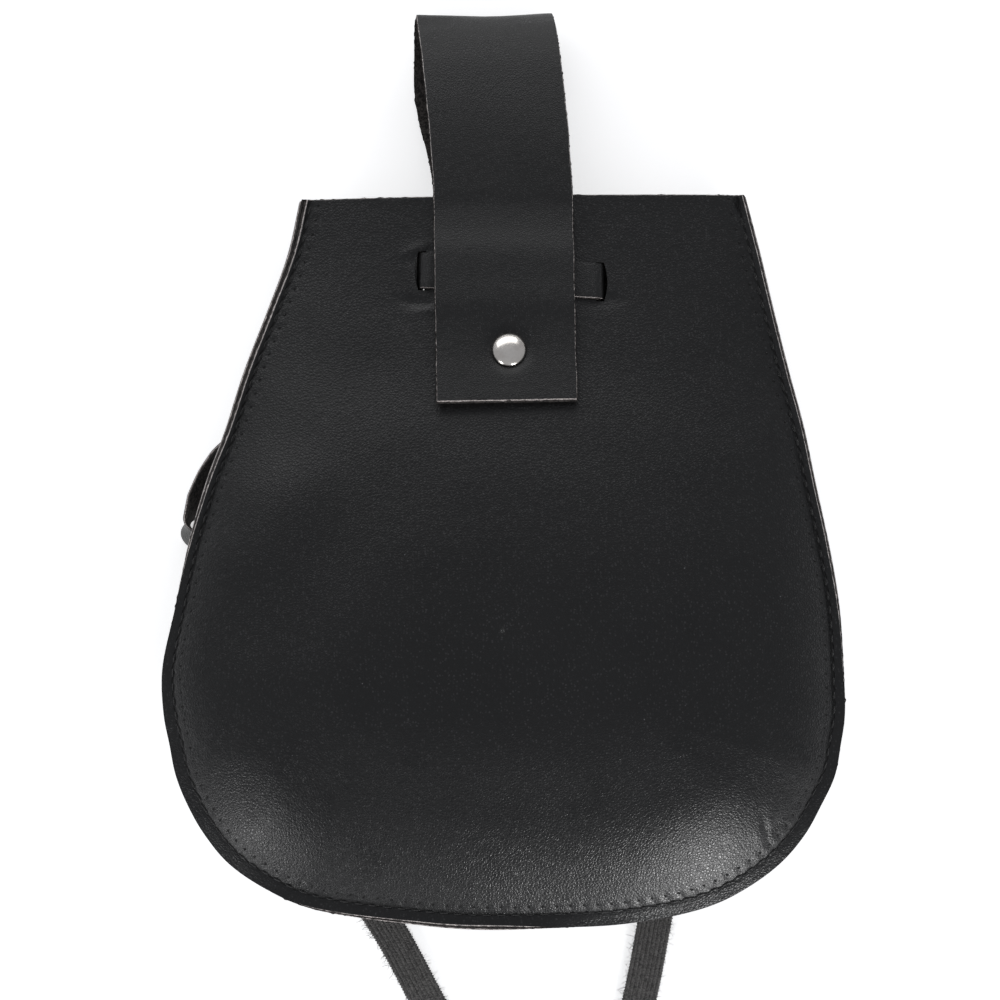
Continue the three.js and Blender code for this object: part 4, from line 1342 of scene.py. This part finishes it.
@dataclass
class BeltStrap:
    """The wide strap: doubled on the back, riveted through, with its fold as the belt loop."""

    width: float = 39.0
    thickness: float = 1.6
    end_height: float = 147.5
    aside: float = 0.8
    lean: float = 1.1
    reach: float = 52.0
    loop_height: float = 17.0
    gap: float = 0.3
    strip_reach: float = 11.6
    strip_thickness: float = 1.4
    slot_height: float = 183.0
    sag: float = 0.15
    sag_reach: float = 26.0
    steps: int = 460
    columns: int = 47

    def on_back(self, body: PouchBody, y: float, layer: int) -> float:
        """The height of the middle of one layer on the body: layer 0 lies on the back, layer 1 over it."""
        carried = max(body.back_outside(x, y) for x in (-self.width / 2, 0, self.width / 2))
        away = (y - self.slot_height) / self.strip_reach
        lift = (self.strip_thickness + self.gap) * math.exp(-(away**4) / 1.6)
        return carried + self.gap + self.thickness / 2 + lift + layer * (self.thickness + self.gap)

    def route(self, body: PouchBody) -> Route:
        """The strap's line from its outer end round the fold to its inner end."""
        seat = body.height - self.end_height
        shares = (0, 0.12, 0.25, 0.38, 0.48, 0.6, 0.72, 0.84, 0.94, 1.03)
        layers = []
        for layer in (1, 0):
            ys = [self.end_height + share * seat for share in shares]
            xs = [self.aside - share * self.lean for share in shares]
            layers.append([(x, y, self.on_back(body, min(y, body.height), layer)) for x, y in zip(xs, ys)])
        beyond = np.column_stack([
            LOOP["aside"] * self.width,
            body.height + LOOP["reach"] * self.reach,
            LOOP["rise"] * self.loop_height,
        ])
        return Route(np.vstack([layers[0], beyond, layers[1][::-1]]))

    def build(self, body: PouchBody, materials: Sequence[bpy.types.Material]) -> bpy.types.Object:
        """Build the strap.

        Args:
            body: the pouch's body.
            materials: of the strap's grain, core and backing.

        Returns:
            The piece, standing for the plain strap.
        """
        route = self.route(body)
        shares = np.linspace(0, 1, self.steps + 1)
        places, ahead = route.at(shares), route.heading(shares)
        across = np.repeat([[-1.0, 0, 0]], len(shares), 0)
        across = unit(across - ahead * (across * ahead).sum(1, keepdims=True))
        grain_way = np.cross(ahead, across)
        aside = np.linspace(-1, 1, self.columns)[None] * self.width / 2
        x = places[:, :1] - aside
        y = np.repeat(places[:, 1:2], self.columns, 1)
        outward = np.where(grain_way[:, 2:3] > 0, 1.0, -1.0)
        at_strip = np.exp(-((y - self.slot_height) / self.sag_reach) ** 2)
        to_sides = (1 - np.cos(x / (self.width / 2) * math.pi)) / 2
        dip = body.rivet_dip(x, y) + self.sag * at_strip * to_sides
        uneven = ripple(x, y + 300 * (outward > 0), seed=21, wave=22, height=0.10)
        band = band_sheet(
            "strap_leather_band",
            places,
            across,
            grain_way,
            self.width,
            self.thickness,
            self.columns,
            closed=False,
            materials=materials,
            seed=31,
            bevel=(0.3, 0.3),
            end_bevel=0.55,
            lift=-dip * outward + uneven,
        )
        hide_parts("belt_strap")
        return band


@dataclass
class ClosureStrip:
    """The narrow strip that draws the mouth together: a ring through four slots, slack at the left."""

    width: float = 10.0
    thickness: float = 1.4
    slot_height: float = 183.0
    slot_aside: float = 2.0
    slot_span: float = 51.5
    slot_slope: float = 1.6
    slot_width: float = 4.0
    slot_ease: float = 1.0
    gap: float = 0.3
    steps: int = 900
    columns: int = 11

    def slots(self) -> tuple[float, float]:
        """The left and the right slot's place along X."""
        return self.slot_aside - self.slot_span / 2, self.slot_aside + self.slot_span / 2

    def bridge(self, x: float) -> float:
        """The height on the body of the strip's middle at a place between the slots."""
        return self.slot_height - self.slot_slope * (x - self.slot_aside) * 2 / self.slot_span

    def round_slot(self, x: float, hand: int) -> np.ndarray:
        """The outline of a D-shaped slot with its round side away from the strap."""
        half = (self.width + self.slot_ease) / 2
        middle = self.bridge(x)
        near = x - hand * self.slot_width * 0.5
        far = x + hand * self.slot_width * 0.05
        t = np.linspace(0, 1, 14)
        arc_x = far + 2 * t * (1 - t) * hand * self.slot_width * 0.5
        arc_y = middle + (2 * t - 1) * half
        outline = np.vstack([[near, middle - half], np.column_stack([arc_x, arc_y]), [near, middle + half]])
        return outline if hand > 0 else outline[::-1]

    def plain_slot(self, x: float) -> np.ndarray:
        """The outline of a plain slot of the front panel."""
        w, h = self.slot_width / 2, (self.width + self.slot_ease) / 2
        y = self.bridge(x)
        far = x + w * 0.52
        return np.array([[x - w, y - h], [far, y - h], [far, y + h], [x - w, y + h]])

    def stops(self, body: PouchBody) -> tuple[np.ndarray, np.ndarray]:
        """The places of the strip's line and the direction across it at each."""
        lie = self.gap + self.thickness / 2
        bend = 2 * self.thickness
        half = self.width / 2
        corner = self.slot_width / 2
        turn = lie + self.gap * 0.6

        def top(x: float) -> float:
            """The back's outer face at the slots' height."""
            return body.back_outside(x, self.bridge(x))

        def under(x: float) -> float:
            """The front's outer face at the slots' height."""
            return body.front_outside(x, self.bridge(x))

        def stop(x: float, z: float) -> tuple[list[float], list[float]]:
            """One stop with the direction across the strip there."""
            level = self.bridge(x)
            lean = 0.0
            if z > under(x) + bend:
                lean = (body.back_outside(x, level + half) - body.back_outside(x, level - half)) / self.width
            return [x, level, z], [0.0, 1.0, lean]

        def passage(x: float, hand: int) -> list[tuple[list[float], list[float]]]:
            """Round the edge of the back's slot and down to the front's."""
            wall = body.wall
            first = x - hand * (corner + 3 * turn)
            return [
                stop(first, top(first) + lie),
                stop(x - hand * (corner + 0.4 * turn), top(x - hand * corner) + turn),
                stop(x - hand * (corner - 0.7 * turn), top(x) + 0.72 * turn),
                stop(x - hand * (corner - turn), top(x)),
                stop(x - hand * (corner - turn) * 0.4, top(x) - wall),
                stop(x, top(x) - wall * 2.2),
                stop(x, (top(x) + under(x)) / 2),
                stop(x, under(x) + wall + self.gap),
                stop(x - bend * 0.3, under(x) - bend * 0.35),
                stop(x - bend * 1.5, lie + self.gap),
            ]

        left, right = self.slots()
        slack = []
        for height, inset, *wide in zip(*(SLACK[k] for k in ("height", "inset", "wx", "wy", "wz"))):
            y = height * body.height
            reach = float(np.interp(height, SECTIONS["height"], SECTIONS["left"]))
            direction = unit(np.array(wide))
            flat = math.hypot(direction[0], direction[1])
            z = self.gap * 1.7 + (abs(direction[2]) * self.width + flat * self.thickness) / 2
            slack.append(([inset * self.width - reach * body.half_width, y, z], direction.tolist()))
        first = stop(self.slot_aside, top(self.slot_aside) + lie)
        stops = [first, *passage(left, -1), *slack, *passage(right, 1)[::-1]]
        return np.array([s[0] for s in stops]), unit(np.array([s[1] for s in stops]))

    def build(self, body: PouchBody, materials: Sequence[bpy.types.Material]) -> bpy.types.Object:
        """Build the strip.

        Args:
            body: the pouch's body.
            materials: of the strip's grain, core and backing.

        Returns:
            The piece, standing for the plain strip.
        """
        places, wide = self.stops(body)
        route = Route(places, closed=True)
        shares = np.arange(self.steps) / self.steps
        line, ahead = route.at(shares), route.heading(shares)
        near = 0.4 / route.length
        ahead[0] = unit(route.at(np.array([near])) - route.at(np.array([1 - near])))[0]
        after = np.searchsorted(route.point_shares, shares, side="right")
        low, high = route.point_shares[after - 1], route.point_shares[after]
        part = (shares - low) / (high - low)
        part = (part * part * (3 - 2 * part))[:, None]
        across = between(wide[after - 1], wide[after % len(wide)], part)
        across = unit(across - ahead * (across * ahead).sum(1, keepdims=True))
        grain_way = np.cross(ahead, across)
        if grain_way[0, 2] < 0:
            line, across, grain_way = line[::-1], across[::-1], -grain_way[::-1]
        band = band_sheet(
            "strip_leather_band",
            line,
            across,
            grain_way,
            self.width,
            self.thickness,
            self.columns,
            closed=True,
            materials=materials,
            seed=41,
            bevel=(0.35, 0.0),
        )
        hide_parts("closure_strip")
        return band


@dataclass
class Rivet:
    """The domed nickel rivet that holds the strap to the back, with its shank and the flat cap inside."""

    aside: float = RIVET_AT[0]
    height: float = RIVET_AT[1]
    cap: float = 9.5
    cap_height: float = 2.2
    rim: float = 0.22
    shank: float = 3.2
    inner: float = 8.0
    inner_thickness: float = 1.0
    gap: float = 0.3
    sink: float = 1.2
    sides: int = 96
    rings: int = 22

    def build(self, body: PouchBody, strap: BeltStrap, material: bpy.types.Material) -> bpy.types.Object:
        """Turn the rivet and set it through the strap.

        Args:
            body: the pouch's body.
            strap: the strap that it holds.
            material: the metal.

        Returns:
            The piece, standing for the plain rivet.
        """
        half = self.cap / 2
        ahead = strap.on_back(body, self.height + half, 1) - strap.on_back(body, self.height - half, 1)
        lean = math.atan2(ahead, self.cap)
        seat = strap.on_back(body, self.height, 1) + strap.thickness / 2 + self.gap
        inside = float(body.back_inside(np.array([self.aside]), np.array([self.height]))[0])
        grip = seat - inside + self.gap
        foot = -grip - self.inner_thickness
        t = np.linspace(0, math.pi / 2, self.rings)
        inner = self.inner / 2
        profile = [(0, foot), (inner * 0.8, foot), (inner, foot + self.inner_thickness * 0.6), (inner, -grip)]
        profile += [(self.shank / 2, -grip), (self.shank / 2, 0), (half * 0.9, -0.12), (half * 0.985, -0.02)]
        swell = self.cap_height - self.rim
        dome = [(half * math.cos(a) ** 0.94, self.rim + swell * math.sin(a) ** 1.25) for a in t[:-1]]
        profile += [(half, 0.12), *dome, (0, self.cap_height)]
        radius, z = np.array(profile).T
        turns = np.arange(self.sides) * math.tau / self.sides
        rings = np.stack([
            radius[:, None] * np.cos(turns),
            radius[:, None] * np.sin(turns),
            np.repeat(z[:, None], self.sides, 1),
        ], axis=-1)
        c, s = math.cos(lean), math.sin(lean)
        x, y, up = np.moveaxis(rings, -1, 0)
        leaned = np.stack([x, y * c - up * s, y * s + up * c], -1)
        points = leaned.reshape(-1, 3) + np.array([self.aside, self.height, seat - self.sink])
        number = np.arange(len(points)).reshape(len(profile), self.sides)
        quads = tube_quads(number)
        layers = np.zeros(len(quads), int)
        piece = finished_object("rivet_dressed", points, quads, layers, [material], sharp=40)
        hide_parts("rivet")
        return piece


# The tapes


@dataclass
class Tape:
    """A flat woven tape out of the front panel's lower end that lies on the surface, cut off bare."""

    name: str
    x: float
    y: float
    end_x: float
    end_y: float
    seed: int
    width: float = 10.0
    thickness: float = 1.2
    slot_width: float = 2.6
    slot_ease: float = 1.0
    gap: float = 0.3
    ribs: int = 8
    weft: float = 0.85
    rows_a_weft: int = 4
    columns_a_rib: int = 7
    hairs: int = 150
    end_hairs: int = 60

    def heading(self) -> np.ndarray:
        """The direction in plan from the slot to the cut end."""
        return unit(np.array([self.end_x - self.x, self.end_y - self.y, 0.0]))

    def route(self, body: PouchBody) -> Route:
        """The tape's line from inside the slot to its cut end."""
        ahead = self.heading()
        start = np.array([self.x, self.y, 0.0])
        length = math.hypot(self.end_x - self.x, self.end_y - self.y)
        lie = self.gap + self.thickness / 2
        wall = body.front_outside(self.x, self.y)
        stops = [(0, wall + 3 * body.wall), (0, wall + 1.5 * body.wall), (0.1, wall)]
        stops += [(1, between(lie, wall, 0.45)), (3.6, lie + 0.6), (8, lie)]
        stops += [(share * length, lie) for share in (0.3, 0.45, 0.6, 0.75, 0.9, 1)]
        return Route(np.array([start + ahead * along + (0, 0, z) for along, z in stops]))

    def slot(self) -> np.ndarray:
        """The outline of the tape's slot in the front panel."""
        ahead = self.heading()
        across = np.array([-ahead[1], ahead[0]])
        middle = np.array([self.x, self.y]) + ahead[:2] * self.slot_width * 0.12
        u, v = (self.width + self.slot_ease) / 2, self.slot_width / 2
        corners = ((-u, -v), (u, -v), (u, v), (-u, v))
        outline = np.array([middle + across * a + ahead[:2] * b for a, b in corners])
        return outline[::-1]

    def weave(self, body: PouchBody, material: bpy.types.Material) -> tuple[bpy.types.Object, Route]:
        """Weave the tape: lengthwise ribs crossed by weft, with small loops along both edges.

        Args:
            body: the pouch's body.
            material: the yarn.

        Returns:
            The piece and the line it follows.
        """
        route = self.route(body)
        count = int(route.length / self.weft * self.rows_a_weft)
        shares = np.linspace(0, 1, count + 1)
        places, ahead = route.at(shares), route.heading(shares)
        side = np.array([-self.heading()[1], self.heading()[0], 0.0])
        across = np.repeat(side[None], count + 1, 0)
        out = np.cross(ahead, across)
        aside = np.linspace(-1, 1, self.ribs * self.columns_a_rib + 1)
        along = shares * route.length
        rib = np.floor((aside + 1) / 2 * self.ribs).clip(0, self.ribs - 1)
        crown = np.abs(np.sin((aside + 1) / 2 * self.ribs * math.pi)) ** 0.7
        slope = ((aside + 1) / 2 * self.ribs - rib - 0.5) * np.where(rib % 2 > 0, 1, -1)
        pick = 0.5 + 0.5 * np.cos((along[:, None] / self.weft + slope[None] * 0.9) * math.tau)
        rise = self.thickness / 2 * (0.52 + 0.30 * crown[None] + 0.18 * pick * (0.4 + 0.6 * crown[None]))
        rise = rise * (1 - 0.55 * np.abs(aside[None]) ** 14)
        loops = 0.16 * np.sin(along / self.weft * math.tau)[:, None] * np.abs(aside)[None] ** 10
        reach = aside[None] * (self.width / 2 - 0.15) + np.sign(aside)[None] * loops
        drift = ripple(along, along * 0, self.seed, wave=26, height=0.22)[:, None]
        aside_by = reach + drift * np.clip(along / 20, 0, 1)[:, None]
        base = places[:, None] + across[:, None] * aside_by[..., None]
        top = base + out[:, None] * rise[..., None]
        low = base - out[:, None] * rise[..., None]
        top[..., 2] = np.maximum(top[..., 2], 0.1)
        low[..., 2] = np.maximum(low[..., 2], 0.05)
        cut = SheetCut((0, 0.5, 1), (Layer.GRAIN, Layer.GRAIN), (0, 0.03, 0))
        fields = {"along": np.repeat(along[:, None], len(aside), 1)}
        materials = [material] * len(Layer)
        name = f"{self.name}_weave"
        return leather_sheet(name, top, low, Rim.ALL, False, materials, fields, self.seed, cut), route

    def fuzz(self, route: Route, material: bpy.types.Material) -> bpy.types.Object:
        """The fine loose threads along the tape's edges and at its cut end."""
        rng = np.random.default_rng(self.seed + 5)
        side = np.array([-self.heading()[1], self.heading()[0], 0.0])
        points, faces = [], []
        rings, sides = 6, 4
        turns = np.arange(sides) * math.tau / sides
        for k in range(self.hairs + self.end_hairs):
            at_end = k >= self.hairs
            way = 1.0 if at_end else rng.uniform(0.16, 0.99)
            hand = rng.choice((-1.0, 1.0))
            centre, ahead = route.at(np.array([way]))[0], route.heading(np.array([way]))[0]
            if at_end:
                root = centre + side * rng.uniform(-4.7, 4.7) - ahead * 0.4
                first, length = ahead + side * rng.normal(0, 0.25), rng.uniform(1.0, 3.4)
            else:
                root = centre + side * hand * (self.width / 2 - 0.5)
                first, length = side * hand + ahead * rng.normal(0, 0.9), rng.uniform(0.9, 2.1)
            root = root + (0, 0, rng.uniform(-0.3, 0.35))
            curl = unit(rng.normal(0, 1, 3) * (1, 1, 0.35))
            t = np.linspace(0, 1, rings)[:, None]
            line = root + unit(first) * length * t + curl * (length * 0.38) * t**2
            line[:, 2] = np.maximum(line[:, 2], 0.12)
            thick = rng.uniform(0.035, 0.075) * (1 - 0.5 * t)
            tangent = unit(np.gradient(line, axis=0))
            a = unit(np.cross(tangent, (0.13, 0.2, 0.97)))
            b = np.cross(tangent, a)
            spoke = a[:, None] * np.cos(turns)[None, :, None] + b[:, None] * np.sin(turns)[None, :, None]
            ring = line[:, None] + spoke * thick[..., None]
            points.append(ring.reshape(-1, 3))
            faces.append(tube_faces(rings, sides) + k * rings * sides)
        quads = np.vstack(faces)
        layers = np.zeros(len(quads), int)
        return finished_object(f"{self.name}_threads", np.vstack(points), quads, layers, [material])

    def build(self, body: PouchBody, finishes: Finishes) -> bpy.types.Object:
        """Args:
            body: the pouch's body.
            finishes: the materials.

        Returns:
            The woven piece.
        """
        piece, route = self.weave(body, finishes.webbing)
        threads = self.fuzz(route, finishes.webbing)
        path = (route.at(np.linspace(0, 1, 60)) + SHIFT) * MM
        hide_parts(self.name)
        LOG.info("%s: %.1f mm from its slot to its cut end", self.name, route.length)
        return piece


# The studio


@dataclass
class Studio:
    """A plain pale floor, soft light and a camera that looks straight down."""

    camera_at: tuple[float, float, float] = (-0.00103, -0.00911, 0.770)
    seen_width: float = 0.280
    seen_distance: float = 0.750
    sensor: float = 36.0

    def camera(self) -> None:
        """Hang the camera over the pouch."""
        data = bpy.data.cameras.new("camera")
        data.sensor_width = self.sensor
        data.lens = self.sensor * self.seen_distance / self.seen_width
        view = bpy.data.objects.new("camera", data)
        view.location = self.camera_at
        bpy.context.scene.collection.objects.link(view)
        bpy.context.scene.camera = view

    def lamp(
        self, name: str, place: Sequence[float], aim: Sequence[float], size: Sequence[float], power: float
    ) -> None:
        """Hang one soft box.

        Args:
            name: of the light.
            place: where its middle is, in metres.
            aim: the place it faces.
            size: its width and height.
            power: in watts.
        """
        data = bpy.data.lights.new(name, "AREA")
        data.shape = "RECTANGLE"
        data.size, data.size_y = size
        data.energy = power
        light = bpy.data.objects.new(name, data)
        light.location = place
        way = np.array(aim) - np.array(place)
        light.rotation_euler = Vector(way.tolist()).to_track_quat("-Z", "Y").to_euler()
        bpy.context.scene.collection.objects.link(light)

    def light(self) -> None:
        """Light the scene: a soft box at each lower side, a broad one beyond the mouth and a dim surround."""
        self.lamp("box_left", (-0.64, -0.79, 0.35), (-0.05, -0.05, 0.02), (0.17, 0.17), 2.0)
        self.lamp("box_right", (0.45, -1.04, 0.35), (0.04, -0.07, 0.02), (0.20, 0.20), 6.5)
        self.lamp("box_far", (-0.22, 1.12, 0.66), (0, 0, 0), (2.0, 0.8), 7.4)
        world = bpy.data.worlds.new("surround")
        world.use_nodes = True
        shade = world.node_tree.nodes["Background"]
        Tree(world.node_tree).feed(shade, {"Color": (0.93, 0.95, 1.0, 1), "Strength": 0.36})
        bpy.context.scene.world = world
        bpy.context.scene.view_settings.view_transform = "Standard"

    def floor(self) -> None:
        """Lay the pale floor just under the pouch."""
        half, count, under = 1.6, 24, 0.00025
        side = np.linspace(-half, half, count + 1)
        x, y = np.meshgrid(side, side, indexing="ij")
        points = np.stack([x, y, np.full_like(x, -under)], -1).reshape(-1, 3)
        number = np.arange(len(points)).reshape(count + 1, count + 1)
        mesh = bpy.data.meshes.new("floor")
        mesh.from_pydata(points.tolist(), [], grid_quads(number).tolist())
        material, tree, shader = new_material("pale_floor")
        tone = tree.mix(tree.noise(tree.place(), 6.0, 2.0), (0.93, 0.93, 0.935, 1), (0.95, 0.95, 0.95, 1))
        tree.feed(shader, {
            "Base Color": tone,
            "Roughness": 0.9,
            "Emission Color": (1, 1, 1, 1),
            "Emission Strength": 0.58,
        })
        mesh.materials.append(material)
        ground = bpy.data.objects.new("floor", mesh)
        bpy.context.scene.collection.objects.link(ground)


def main() -> None:
    """Build the pouch piece by piece, and report each one."""
    logging.basicConfig(level=logging.INFO, format="%(name)s %(message)s")
    studio = Studio()
    studio.camera()
    finishes = Finishes.build()
    body = PouchBody()
    tapes = [
        Tape("tape_left", -46.2, 19.3, -16.9, -31.9, 51),
        Tape("tape_right", 48.2, 23.6, 36.6, -33, 61),
    ]
    for tape in tapes:
        tape.build(body, finishes)
    strip = ClosureStrip()
    left, right = strip.slots()
    back = body.panel(Side.BACK, finishes.leather(finishes.panel))
    cut_through(back, [strip.round_slot(left, -1), strip.round_slot(right, 1)], low=5, high=80)
    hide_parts("back_panel")
    front = body.panel(Side.FRONT, finishes.leather(finishes.panel))
    slots = [strip.plain_slot(left), strip.plain_slot(right)] + [tape.slot() for tape in tapes]
    cut_through(front, slots, low=-2, high=20)
    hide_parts("front_panel")
    for side in Side:
        thread = SeamThread().build(body, side, finishes.thread)
    strap = BeltStrap()
    strap.build(body, finishes.leather(finishes.strap))
    strip.build(body, finishes.leather(finishes.strap))
    Rivet().build(body, strap, finishes.nickel)
    studio.floor()
    studio.light()


if __name__ == "__main__":
    main()
